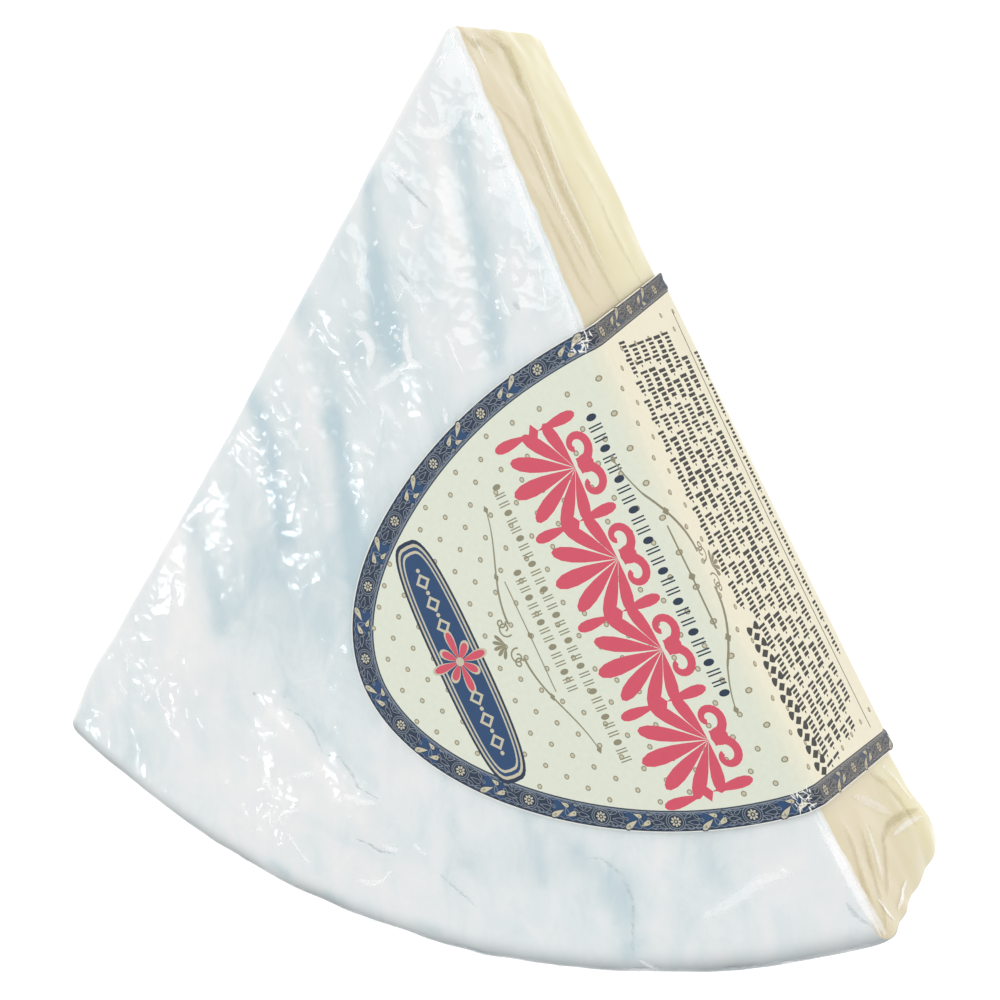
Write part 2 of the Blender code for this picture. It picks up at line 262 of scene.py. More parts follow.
def ramp(tree, value, stops, smoothly=True):
    """A colour ramp's output, from stops of place and hex colour."""
    node = add_node(tree, "ValToRGB", Fac=value)
    band = node.color_ramp
    band.interpolation = "B_SPLINE" if smoothly else "LINEAR"
    while len(band.elements) < len(stops):
        band.elements.new(0.5)
    for element, (place, colour) in zip(band.elements, stops):
        element.position = place
        element.color = linear(colour)
    return node.outputs["Color"]


def rise(tree, value, low, high):
    """A value's smooth rise from 0 at low to 1 at high."""
    node = add_node(
        tree, "MapRange", {"interpolation_type": "SMOOTHSTEP"},
        Value=value, From_Min=low, From_Max=high,
    )
    return node.outputs["Result"]


def cheese_material():
    """Mould-ripened cheese: a felt-like white rind over a soft, slightly greasy ivory paste.

    The rind scatters light evenly and shows broad blue-grey marks where the draining rack pressed
    it, with painted light and shade on its folds and painted shade on its rim and beside the label. The paste
    is cut, so it is smoother, with faint layers along the cut, and painted shade darkens its upper band
    and a line along it.
    """
    material, tree, output = new_material("white_rind_and_soft_paste")
    place = add_node(tree, "TexCoord").outputs["Object"]
    skin, layer, tone, rim_painted_shade = (
        add_node(tree, "Attribute", {"attribute_name": name}).outputs["Fac"]
        for name in ("skin_depth", "height_share", "rack_tone_and_painted_shade", "rim_painted_shade")
    )

    wobble = add_node(tree, "TexNoise", Vector=place, Scale=1 / CUT_LINE_WOBBLE, Detail=3.0)
    edge = add_node(
        tree, "Math", {"operation": "MULTIPLY_ADD"},
        i0=wobble.outputs["Fac"], i1=1.2, i2=skin,
    )
    paste_share = rise(tree, edge.outputs[0], 1.5, 2.1)

    drawn_out = add_node(tree, "Mapping", Vector=place, Rotation=(0, 0, 0.5), Scale=(1.5, 0.8, 1))
    mottle = add_node(
        tree, "TexNoise",
        Vector=drawn_out.outputs[0], Scale=1 / MOULD_CLOUD, Detail=6.0, Roughness=0.62, Distortion=0.6,
    )
    tone_sum = add_node(
        tree, "Math", {"operation": "MULTIPLY_ADD", "use_clamp": True},
        i0=mottle.outputs["Fac"], i1=RIND_CLOUDS, i2=tone,
    )
    rind = ramp(tree, tone_sum.outputs[0], (
        (0.0, "#F5F5F4"), (0.25, "#EEF1F1"), (0.5, "#E4ECED"), (0.75, "#D3E1E5"), (1.0, "#C1D6DD"),
    ), smoothly=False)
    # painted shade: the rim's rounded edge turns towards a dark grey-blue
    rind = colour_mix(tree, rim_painted_shade, rind, linear("#929C9F"))

    flattened = add_node(tree, "Mapping", Vector=place, Scale=(1, 1, 3))
    streaks = add_node(tree, "TexNoise", Vector=flattened.outputs[0], Scale=1 / PASTE_LAYER, Detail=5.0)
    layers_and_painted_shade = add_node(
        tree, "Math", {"operation": "MULTIPLY_ADD"},
        i0=streaks.outputs["Fac"], i1=0.3, i2=layer,
    )
    # Painted shade: the paste darker in its upper band and along a line near 0.72 of its height, lighter low
    # down
    paste = ramp(tree, layers_and_painted_shade.outputs[0], (
        (0.1, "#E2D8AC"), (0.45, "#E6DDB0"), (0.66, "#E2D8AC"),
        (0.72, "#D2C69A"), (0.8, "#D9CBA3"), (1.0, "#D8CAA4"),
    ))

    nap = add_node(tree, "TexNoise", Vector=place, Scale=1 / MOULD_NAP, Detail=4.0)
    bump = add_node(tree, "Bump", Height=nap.outputs["Fac"], Strength=0.25, Distance=MOULD_NAP_HEIGHT)
    roughness = add_node(tree, "MapRange", Value=paste_share, To_Min=0.8, To_Max=0.5)
    shader = add_node(
        tree, "BsdfPrincipled",
        Base_Color=colour_mix(tree, paste_share, rind, paste),
        Roughness=roughness.outputs["Result"], Normal=bump.outputs[0],
    )
    tree.links.new(shader.outputs[0], output.inputs["Surface"])
    return material


def film_material():
    """Clear cling film, stretched PVC: seen only by its gloss, which grows towards the edges.

    Where it isn't pulled tight it is faceted by small crinkles, which catch the lamps as short glints.
    Light goes straight through from inside, so only its outer side reflects.
    """
    material, tree, output = new_material("clear_cling_film")
    place = add_node(tree, "TexCoord").outputs["Object"]
    crinkle = add_node(tree, "Attribute", {"attribute_name": "crinkle"}).outputs["Fac"]
    warp = add_node(tree, "TexNoise", Vector=place, Scale=1 / FILM_WARP, Detail=2.0)
    bent = add_node(
        tree, "VectorMath", {"operation": "SCALE"},
        i0=warp.outputs["Color"], Scale=FILM_WARP_REACH,
    )
    moved = add_node(tree, "VectorMath", {"operation": "ADD"}, i0=place, i1=bent.outputs[0])
    facets = add_node(tree, "TexVoronoi", Vector=moved.outputs[0], Scale=1 / FILM_FACET)
    fine = add_node(tree, "TexNoise", Vector=place, Scale=1 / FILM_FINE_FOLD, Detail=2.0)
    folded = add_node(
        tree, "Math", {"operation": "MULTIPLY_ADD"},
        i0=fine.outputs["Fac"], i1=0.22, i2=facets.outputs["Distance"],
    )
    height = add_node(tree, "Math", {"operation": "MULTIPLY"}, i0=folded.outputs[0], i1=crinkle)
    bump = add_node(tree, "Bump", Height=height.outputs[0], Strength=1.0, Distance=FILM_FACET_HEIGHT)

    facing = add_node(tree, "LayerWeight", Blend=0.5).outputs["Facing"]
    steep = add_node(tree, "Math", {"operation": "POWER"}, i0=facing, i1=5.0)
    gloss = add_node(tree, "Math", {"operation": "MULTIPLY_ADD"}, i0=steep.outputs[0], i1=0.85, i2=0.07)
    inner = add_node(tree, "NewGeometry").outputs["Backfacing"]
    outer = add_node(tree, "Math", {"operation": "SUBTRACT"}, i0=1.0, i1=inner)
    share = add_node(tree, "Math", {"operation": "MULTIPLY"}, i0=gloss.outputs[0], i1=outer.outputs[0])
    clear = add_node(tree, "BsdfTransparent", Color=WHITE)
    shine = add_node(
        tree, "BsdfPrincipled",
        Base_Color=WHITE, Metallic=1.0, Roughness=0.14, Normal=bump.outputs[0],
    )
    mixed = add_node(tree, "MixShader", Fac=share.outputs[0], i1=clear.outputs[0], i2=shine.outputs[0])
    tree.links.new(mixed.outputs[0], output.inputs["Surface"])
    return material


def crease_material():
    """Painted light on the film's creases: a white, glossy painted glint where a crease stands up, painted
    shade where it dips.
    """
    material, tree, output = new_material("painted_crease_glints_and_shade")
    painted_light_share, shadow = (
        add_node(tree, "Attribute", {"attribute_name": name}).outputs["Fac"]
        for name in ("painted_light_share", "in_shadow")
    )
    # Painted highlight in white; painted shade warm over the paste and cool over the rind
    colour = ramp(tree, shadow, ((0.0, "#FFFFFF"), (0.5, "#C8BB90"), (1.0, "#C2CCCF")), smoothly=False)
    clear = add_node(tree, "BsdfTransparent", Color=WHITE)
    body = add_node(tree, "BsdfPrincipled", Base_Color=colour, Roughness=0.3)
    mixed = add_node(tree, "MixShader", Fac=painted_light_share, i1=clear.outputs[0], i2=body.outputs[0])
    tree.links.new(mixed.outputs[0], output.inputs["Surface"])
    return material


def ink_material(name, colour, side_colour):
    """Offset ink on coated label paper: even colour under a low gloss, in another tone down the side than
    over the top.
    """
    material, tree, output = new_material(name)
    flat = add_node(tree, "UVMap", {"uv_map": "flat"}).outputs["UV"]
    depth = add_node(tree, "SeparateXYZ", Vector=flat).outputs["Y"]
    base = colour_mix(tree, rise(tree, depth, *INK_WARMS), linear(side_colour), linear(colour))
    fibre = add_node(tree, "TexNoise", Vector=flat, Scale=1 / PAPER_FIBRE, Detail=4.0)
    dimmed = add_node(tree, "MapRange", Value=fibre.outputs["Fac"], To_Min=0.94, To_Max=1.04)
    toned = add_node(tree, "VectorMath", {"operation": "SCALE"}, i0=base, Scale=dimmed.outputs["Result"])
    bump = add_node(tree, "Bump", Height=fibre.outputs["Fac"], Strength=0.1, Distance=PAPER_FIBRE_HEIGHT)
    shader = add_node(
        tree, "BsdfPrincipled",
        Base_Color=toned.outputs[0], Roughness=0.5, Specular_IOR_Level=0.35, Normal=bump.outputs[0],
        Coat_Weight=0.08, Coat_Roughness=0.15,
    )
    tree.links.new(shader.outputs[0], output.inputs["Surface"])
    return material


# Cheese and film


def take_up(piece):
    """Puts a new piece in the scene as the only one that is selected."""
    bpy.context.collection.objects.link(piece)
    bpy.ops.object.select_all(action="DESELECT")
    piece.select_set(True)
    bpy.context.view_layer.objects.active = piece


def merged_copy(node, name):
    """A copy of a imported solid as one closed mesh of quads, smoothly subdivided."""
    piece = bpy.data.objects.new(name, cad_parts[node].data.copy())
    piece.data.name = name
    piece.data.materials.clear()
    take_up(piece)
    bpy.ops.mesh.customdata_custom_splitnormals_clear()
    bpy.ops.object.mode_set(mode="EDIT")
    bpy.ops.mesh.select_all(action="SELECT")
    bpy.ops.mesh.remove_doubles(threshold=0.002 * MM)
    bpy.ops.mesh.mark_sharp(clear=True)
    bpy.ops.mesh.tris_convert_to_quads(face_threshold=math.radians(60), shape_threshold=math.radians(70))
    bpy.ops.object.mode_set(mode="OBJECT")
    subdivision = piece.modifiers.new("smooth", "SUBSURF")
    subdivision.levels = subdivision.render_levels = 2
    bpy.ops.object.modifier_apply(modifier=subdivision.name)
    bpy.ops.object.shade_smooth()
    return piece


def read_points(piece):
    """The piece's vertices from the point of the wedge, and their normals."""
    count = len(piece.data.vertices)
    places, normals = np.empty(count * 3), np.empty(count * 3)
    piece.data.vertices.foreach_get("co", places)
    piece.data.vertices.foreach_get("normal", normals)
    return places.reshape(-1, 3) - POINT, normals.reshape(-1, 3)


def write_points(piece, places):
    """Puts the piece's vertices where they belong from the point of the wedge."""
    piece.data.vertices.foreach_set("co", (places + POINT).astype(np.float32).ravel())
    piece.data.update()


def write_attribute(piece, name, values):
    """Stores one number for each vertex, for the piece's material."""
    attribute = piece.data.attributes.new(name, "FLOAT", "POINT")
    attribute.data.foreach_set("value", values.astype(np.float32))


def noise_at(places, length, offset=0.0):
    """Smooth noise from about -1 to 1, with features of a given length."""
    return np.array([noise.noise(Vector(place / length) + Vector((offset,) * 3)) for place in places])


def surroundings(places):
    """For each place: distance along and in from each cut face, the labelled one first."""
    plan = places[:, :2]
    return [(plan @ (CUT_ALONG * (side, 1)), -plan @ (CUT_OUTWARD * (side, 1))) for side in (1, -1)]


def clear_of_label(places):
    """0 where the label lies over a place and 1 well clear of it."""
    along, depth = surroundings(places)[0]
    drop = places[:, 2] - top_height(places[:, :2])
    return outside_label(along, np.where(depth < LABEL_STARTS, drop, depth))


def along_line(plan, line):
    """For each plan point, its distance to a line of points in mm."""
    nearest = np.full(len(plan), np.inf)
    corners = np.array(line) * MM
    for first, second in zip(corners, corners[1:]):
        step = second - first
        share = np.clip((plan - first) @ step / (step @ step), 0, 1)
        nearest = np.minimum(nearest, np.linalg.norm(plan - first - share[:, None] * step, axis=1))
    return nearest


def soft_areas(plan, areas):
    """The sum at each plan point of soft round areas, each with a strength, place and reach in mm."""
    total = np.zeros(len(plan))
    for strength, x, y, reach_x, reach_y in areas:
        apart = (plan - np.array((x, y)) * MM) / (np.array((reach_x, reach_y)) * MM)
        total += strength * np.exp(-(apart**2).sum(axis=1))
    return total


# Soft folds of the rind: height and half width in mm, and the crest's line in mm from the point
RIND_FOLDS = (
    (0.42, 2.4, ((-30.6, -119.2), (-25.0, -124.4), (-18.4, -129.2), (-10.6, -134.2))),
    (0.4, 5.0, ((-30.0, -130.0), (-24.0, -133.6), (-16.4, -136.6), (-10.4, -138.8))),
    (0.12, 1.8, ((-38.4, -121.6), (-34.6, -122.6), (-31.0, -124.6))),
)


def cheese_relief(places):
    """Unevenness of the rind and the paste: soft waves, and sharper folds down the cut faces."""
    labelled, plain = (depth for _, depth in surroundings(places))
    radius = np.linalg.norm(places[:, :2], axis=1)
    waves = BROAD_WAVE * noise_at(places, BROAD_WAVE_LENGTH)
    waves += SMALL_WAVE * noise_at(places, SMALL_WAVE_LENGTH, 7.0)
    on_top = 1 - smooth(top_height(places[:, :2]) - places[:, 2], *TOP_REACH)
    for height, half_width, line in RIND_FOLDS:
        away = along_line(places[:, :2], line) / (half_width * MM)
        waves += height * MM * np.exp(-(away**2)) * on_top

    drawn_up = places * np.array((0.75, 0.75, 1.5))
    folds = np.maximum(noise_at(drawn_up, FOLD_LENGTHS[0], 15.0), noise_at(drawn_up, FOLD_LENGTHS[1], 19.0))
    creased = np.abs(noise_at(places, CREASED_LENGTH, 23.0))
    far = smooth(radius, *RIM_END)
    near = 1 - smooth(radius, *POINT_END)
    depth = np.where(labelled < plain, LABELLED_FOLDS, PLAIN_FOLDS)
    sunk = depth * (folds - 0.15 - (FAR_CREASED * far + NEAR_CREASED * near) * creased)
    on_face = 1 - smooth(np.minimum(labelled, plain), *FACE_REACH)
    return waves + on_face * sunk


# Marks of the draining rack, and painted light and shade along the rind's soft folds, in mm from the point:
# blue-grey above 0, whiter below, with a half width
RACK_AND_FOLD_SHADE_BANDS = (
    (0.6, 2.4, ((2.2, -17), (2.7, -20), (5.0, -30), (7.5, -40), (9.2, -46), (10.6, -52))),
    (0.5, 2.2, ((-15.0, -24), (-13.6, -28.5), (-12.0, -35.5), (-11.4, -42), (-10.6, -48), (-8.4, -54))),
    (0.34, 2.6, ((-26.8, -47), (-24.6, -52), (-22.3, -57), (-21.0, -61), (-20.0, -67))),
    (0.58, 2.3, ((-20.0, -66), (-18.4, -71.5), (-16.2, -79), (-14.4, -86.5), (-14.0, -93))),
    (0.48, 2.4, ((-36.5, -64), (-34.8, -67), (-33.2, -73), (-31.6, -80), (-29.0, -88))),
    (0.36, 2.2, ((-48.4, -90), (-46.6, -94), (-45.2, -101), (-43.6, -108))),
    (0.3, 1.8, ((20.0, -127), (22.5, -133), (24.5, -140))),
    (0.3, 2.6, ((31.0, -134), (36.0, -136), (39.5, -142), (41.0, -151))),
    (-0.26, 1.9, ((-1.6, -20), (1.2, -30), (3.6, -40), (5.6, -48))),
    (-0.3, 2.0, ((-29.5, -52), (-26.6, -57), (-24.4, -66), (-21.2, -75), (-19.4, -84))),
    (-0.24, 3.2, ((-53.5, -92), (-51.5, -103), (-50.0, -116))),
    (-0.26, 2.2, ((44.5, -130), (45.5, -136), (46.0, -143))),
    # Painted light and shade of the rind's soft folds: whiter on a fold's lit lower-left side, blue-grey on
    # its shaded side and in a painted shadow below the mound
    (-0.3, 2.4, ((-31.6, -121.4), (-26.2, -126.6), (-19.4, -131.4), (-12, -136.4))),
    (0.24, 1.5, ((-28.4, -117.6), (-22.6, -122.4), (-16.0, -126.6), (-9.4, -131.0))),
    (0.2, 1.6, ((-25.6, -140.4), (-20.0, -141.4), (-14.2, -142.8), (-8.8, -144.4))),
    (0.42, 1.3, ((-31.0, -152.4), (-27.6, -153.2))),
    (0.36, 1.2, ((-18.4, -154.8), (-15.2, -155.4))),
    (0.3, 1.2, ((1.6, -155.2), (5.4, -155.2))),
)
# Broad soft areas of tone: strength, place and reach in mm
RIND_AREAS = (
    (0.36, -32, -99, 15, 14),
    (0.2, -17, -106, 9, 16),
    (0.12, -8, -60, 9, 12),
    (0.16, -22, -76, 12, 14),
    (0.17, -67, -135, 15, 10),
    (-0.2, -30, -140, 22, 10),
    (-0.16, -52, -104, 6, 14),
    (-0.02, -4, -24, 5, 20),
    (0.14, 34, -140, 7, 8),
    (0.26, 42, -137, 4, 6),
    (0.28, -12, -47, 9, 12),
    (0.24, 53, -130, 4, 5),
    (0.14, 12, -138, 12, 8),
    (-0.12, 66, -126, 8, 7),
)


# Where the film is most crinkled: strength, place and reach in mm
CRINKLED_AREAS = (
    (0.45, 1, -15, 8, 8),
    (0.65, -12, -50, 8, 10),
    (0.5, 13, -40, 5, 9),
    (0.38, -56, -124, 6, 6),
    (0.8, -30, -142, 7, 5),
    (0.4, -8, -134, 8, 8),
    (0.4, -28, -70, 8, 10),
    (0.5, 72, -128, 10, 8),
)


def rack_tone_and_painted_shade(places):
    """How blue-grey the rind is: bands where the draining rack pressed it, within broad soft areas, with
    painted light and shade along its folds and a painted shadow beside the label.
    """
    plan = places[:, :2]
    wander = [BAND_WANDER * noise_at(places, BAND_WANDER_LENGTH, offset) for offset in (3.0, 8.0)]
    tone = RIND_TONE + RIND_TONE_SWING * noise_at(places, RIND_TONE_LENGTH, 11.0)
    tone += soft_areas(plan, RIND_AREAS)
    for strength, half_width, line in RACK_AND_FOLD_SHADE_BANDS:
        away = along_line(plan + np.column_stack(wander), line) / (half_width * MM)
        tone += BAND_WEIGHT * strength * np.exp(-(away**BAND_EDGE))
    # Painted shadow of the label on the rind beside it
    along, depth = surroundings(places)[0]
    left, right = label_span(depth)
    beside = np.maximum(left - along, along - right) / LABEL_SHADOW_REACH
    in_label_shadow = (depth > LABEL_SHADOW_FROM) & (depth < LABEL_REACH)
    return tone + LABEL_SHADOW * np.exp(-(beside**2)) * in_label_shadow


def make_cheese():
    """The cheese itself: rind all round but for its two cut faces."""
    cheese = merged_copy("wrapped_wedge", "cheese")
    places, normals = read_points(cheese)
    (along, depth), (_, plain_depth) = surroundings(places)
    nearest_cut = np.minimum(depth, plain_depth)
    radius = np.linalg.norm(places[:, :2], axis=1)
    top = top_height(places[:, :2])

    skin = np.minimum(top - places[:, 2], places[:, 2] * 0.5)
    skin = np.minimum(skin, WHEEL_RADIUS - radius)
    faces_out = np.maximum(normals[:, :2] @ CUT_OUTWARD, normals[:, :2] @ (CUT_OUTWARD * (-1, 1)))
    skin = np.where(nearest_cut < PASTE_REACH, skin, 0) / MM * smooth(faces_out, *PASTE_FACES)
    write_attribute(cheese, "skin_depth", np.clip(skin, 0, 10))

    far_end = smooth(along, *PASTE_END) * (depth < PASTE_END_DEPTH)
    height_share = np.clip(places[:, 2] / top, 0, 1.1)
    layers = height_share * (1 - PASTE_END_LAYERS * far_end) + PASTE_END_TONE * far_end
    write_attribute(cheese, "height_share", layers)
    tone = rack_tone_and_painted_shade(places) * smooth(nearest_cut, 0, TONE_FADE)
    write_attribute(cheese, "rack_tone_and_painted_shade", tone - RIND_CLOUDS / 2)

    # Painted shade on the rim's rounded edge, varied along it and fading low down
    low_height, low_fade = RIM_SHADE_LOW
    low = 1 - smooth(places[:, 2], 0, low_height)
    grey = RIM_SHADE + RIM_SHADE_SWING * noise_at(places, RIM_SHADE_LENGTH, 4.0)
    rim_painted_shade = smooth(radius, *RIND_RIM) ** RIM_SHADE_EDGE * grey
    write_attribute(cheese, "rim_painted_shade", np.clip(rim_painted_shade * (1 - low * low_fade), 0, 1))

    relief = cheese_relief(places) * clear_of_label(places)
    moved = places + normals * (relief - CHEESE_INSET)[:, None]
    moved[:, 2] = np.maximum(moved[:, 2], CHEESE_INSET)
    write_points(cheese, moved)
    cheese.data.materials.append(cheese_material())
    return cheese


def make_film():
    """The film, a skin just off the cheese."""
    film = merged_copy("wrapped_wedge", "film")
    places, normals = read_points(film)
    clear = clear_of_label(places)
    crinkle = CRINKLE + CRINKLE_PATCH * smooth(noise_at(places, CRINKLE_PATCH_LENGTH, 5.0), 0.0, 0.5)
    crinkle += soft_areas(places[:, :2], CRINKLED_AREAS)
    write_attribute(film, "crinkle", clear * crinkle)
    moved = places + normals * (FILM_LIFT + clear * cheese_relief(places))[:, None]
    moved[:, 2] = np.maximum(moved[:, 2], 0)
    write_points(film, moved)
    film.data.materials.append(film_material())
    return film


# Creases of the film, with painted light: along each, a narrow strip paints a white glint, by its places in
# mm on the flat top.
# Each is its half width in mm, how white its painted glint is (below 0 it is painted shade instead) and its
# line.
TOP_CREASES = (
    (0.9, 0.75, ((-6.6, -17.4), (-4, -18.2), (-1, -18.0), (1.4, -16.6), (3.3, -14.2))),
    (0.28, 1.0, ((-2.0, -7.6), (-1.2, -6.6), (-0.2, -6.4))),
    (0.24, 1.0, ((-1.4, -8.4), (-0.9, -7.4), (0.2, -5.6))),
    (0.2, 0.9, ((0.4, -4.6), (1.0, -5.4))),
    (0.3, 1.0, ((-8.8, -17.8), (-7.8, -18.2), (-6.4, -19.6))),
    (0.5, 1.0, ((-10, -22.6), (-8.2, -24.0), (-5.4, -25.8))),
    (0.22, -0.7, ((-9.6, -24.2), (-7.0, -26.4), (-4.2, -28.4), (-2, -30))),
    (0.3, 1.0, ((4.9, -12.6), (5.4, -14.6), (4.8, -15.8), (5.8, -17), (6.4, -18.6))),
    (0.2, -0.6, ((5.8, -14.6), (6.8, -15.8))),
    (0.22, 0.9, ((8.2, -17.6), (9.1, -19.2), (9.0, -21))),
    (0.24, 0.95, ((9.8, -22.6), (10.6, -24.6), (12.0, -27.4))),
    (0.26, 0.9, ((7.1, -23.2), (7.6, -24))),
    (0.28, 0.9, ((8.2, -25.6), (8.9, -27))),
    (0.26, 1.0, ((15.0, -30.6), (15.5, -32.6), (16.1, -34.8))),
    (0.3, 0.95, ((-6.2, -31.8), (-5, -33), (-3, -32.6))),
    (0.3, 0.9, ((-12.6, -30), (-12.3, -31))),
    (0.34, 0.9, ((-12.4, -36.4), (-11.6, -35.4))),
    (0.85, 0.6, ((-13.9, -37), (-14.4, -39.6), (-14.6, -43.4))),
    (0.42, 1.0, ((9.6, -36), (11.4, -37), (10.6, -38.8), (10.1, -40))),
    (0.22, 0.9, ((17.5, -36.8), (18.2, -39.6), (18.9, -41.8), (19.0, -44.2))),
    (0.22, 0.9, ((16.0, -38.2), (15.8, -40.4), (15.1, -42.4))),
    (0.25, 0.8, ((13.5, -39), (14.1, -40.2))),
    (0.22, 0.6, ((-8.5, -42.4), (-7.3, -45.2), (-5.7, -41.8))),
    (0.28, 0.6, ((-4.2, -42.6), (-3.0, -45), (-2.2, -47))),
    (0.2, -0.5, ((-7.6, -39.6), (-5, -42))),
    (0.26, 0.7, ((10.9, -41.8), (12.0, -44), (13.4, -46))),
    (0.3, -0.7, ((13.4, -43.2), (14.8, -44.6))),
    (0.3, 0.9, ((-23.3, -44.6), (-22.9, -45.4))),
    (0.25, 0.8, ((-20.3, -37.2), (-19.7, -38.6))),
    (0.4, 1.0, ((-24.7, -52.8), (-23.9, -51.4), (-23.0, -50))),
    (0.26, 0.9, ((-29.3, -55.8), (-28.4, -56.4))),
    (0.85, 0.85, ((-15.4, -50.6), (-13.4, -51.2), (-12.3, -53.2), (-12.8, -56.8))),
    (0.3, 0.7, ((-18.4, -57.4), (-16, -60), (-13.8, -62.2), (-11.4, -64.8))),
    (0.26, 0.55, ((-17.4, -60.2), (-14.4, -63.6))),
    (0.7, 0.75, ((-5.4, -48.4), (-5.6, -51.4), (-4.8, -54.4), (-1.8, -55.6))),
    (0.65, 0.6, ((-4.8, -54.4), (-8.2, -57.6), (-11.9, -60.4))),
    (0.45, 0.9, ((-11.5, -48.6), (-10.9, -49.4))),
    (0.5, 0.7, ((-7.8, -51.4), (-7.0, -50.4))),
    (0.26, 0.8, ((-10.8, -62), (-9.7, -63.6), (-10.1, -66.8))),
    (0.4, 0.8, ((-14.2, -69.2), (-12.4, -70.6), (-10.6, -71.2))),
    (0.34, 0.9, ((1.9, -61.2), (2.4, -62.8), (2.5, -64.4))),
    (0.24, 0.6, ((2.0, -49.6), (3.8, -53), (5.6, -56.2))),
    (0.24, 0.6, ((-1.3, -57.2), (-0.2, -59.2))),
    (0.3, 0.7, ((-31.4, -60.8), (-30.4, -61.4))),
    (0.28, 0.8, ((-29.7, -63.8), (-27.8, -66.2))),
    (0.55, 0.45, ((-31, -68.8), (-28, -69.6), (-26, -72.4))),
    (0.26, 0.8, ((-41.6, -73.4), (-40.1, -71.8))),
    (0.28, 0.95, ((-64.6, -117.2), (-64.4, -118.8), (-64.5, -121))),
    (0.2, 0.8, ((-66.4, -120.4), (-66.6, -123), (-64.2, -125.6))),
    (0.26, 0.95, ((-60.4, -120.4), (-58.2, -120.8))),
    (0.3, 1.0, ((-56, -120.8), (-57.4, -123), (-56.6, -126.4))),
    (0.36, 1.0, ((-58.8, -124.2), (-60.6, -126))),
    (0.32, 1.0, ((-56.8, -125.8), (-54.5, -127.4), (-55.7, -129.4))),
    (0.28, 0.95, ((-54, -127.8), (-52.9, -125.4))),
    (0.3, 0.95, ((-55.4, -129.2), (-53.8, -131), (-52.2, -131.8))),
    (0.3, 0.9, ((-54.9, -119), (-53.4, -119.4))),
    (0.3, 0.9, ((-48.8, -121), (-48, -122.6))),
    (0.34, 0.95, ((-48.4, -126.4), (-47.6, -127.8), (-46.6, -128.8))),
    (0.28, 0.8, ((-52.6, -114.2), (-51.8, -115))),
    (0.26, 0.7, ((-53.8, -104.4), (-53.4, -105.6))),
    (0.4, 1.0, ((-33.1, -129.8), (-32.5, -130.8))),
    (0.24, 0.8, ((-30.7, -125.6), (-30.4, -127.4))),
    (0.36, 0.9, ((-41.6, -137.4), (-41.2, -138.8))),
    (0.3, 0.8, ((-39, -132.4), (-36.6, -133))),
    (0.5, 0.8, ((-33.7, -135.2), (-32.4, -136), (-31.4, -137.4))),
    (0.3, 1.0, ((-31.6, -141), (-31.3, -142.8), (-31, -144.8))),
    (0.28, 1.0, ((-29.8, -142.8), (-28.6, -141.2), (-27, -140.4), (-24.8, -139.4))),
    (0.28, 0.9, ((-29.4, -141.8), (-28.4, -143.6))),
    (0.26, 0.9, ((-34.6, -146.2), (-32.8, -145.2))),
    (0.26, 0.85, ((-28, -144.2), (-26, -146), (-24, -148), (-21.4, -150))),
    (0.3, -0.8, ((-35.9, -119), (-35.5, -119.8))),
    (0.3, -0.5, ((-29, -118.2), (-28.4, -118.6))),
    (0.24, -0.6, ((-28.8, -120.4), (-25, -121.4), (-22.4, -123.6), (-20, -127.4))),
    (0.24, -0.7, ((-20, -127.4), (-16.4, -127.2), (-13.6, -129.6), (-12.2, -131.8), (-7.8, -133.2))),
    (0.6, 0.6, ((-15.4, -134), (-12, -134.2), (-8.4, -134))),
    (0.5, 0.5, ((-26.8, -133.6), (-24, -132.4), (-21.2, -131.6))),
    (0.24, -0.7, ((-12.6, -141.8), (-9.4, -142.2), (-7.4, -143), (-4, -142.6))),
    (0.5, 0.8, ((-7.2, -141.4), (-5.4, -142), (-3.6, -141.6))),
    (0.45, 0.7, ((-11.8, -150), (-8.6, -149.8), (-6.2, -148.4), (-5, -146))),
    (0.4, 0.8, ((-0.8, -139.8), (0.8, -140.8), (2.2, -141.4))),
    (0.3, -0.4, ((4.5, -144), (8.5, -146.4), (12.5, -148.6))),
    (0.3, -0.45, ((31.6, -134.2), (34.5, -133.4), (38.5, -135), (40.8, -139), (41.6, -150))),
    (0.9, 0.45, ((52.5, -139), (57.5, -134.6), (62, -129.6), (66.5, -127.4))),
    (0.34, 0.95, ((64.4, -127), (65.8, -127.6))),
    (0.5, 0.6, ((42.4, -149.4), (44.5, -150.4), (46.6, -150.8))),
    (0.3, -0.5, ((74.9, -129.6), (76.4, -131.6), (79.3, -133.4))),
)
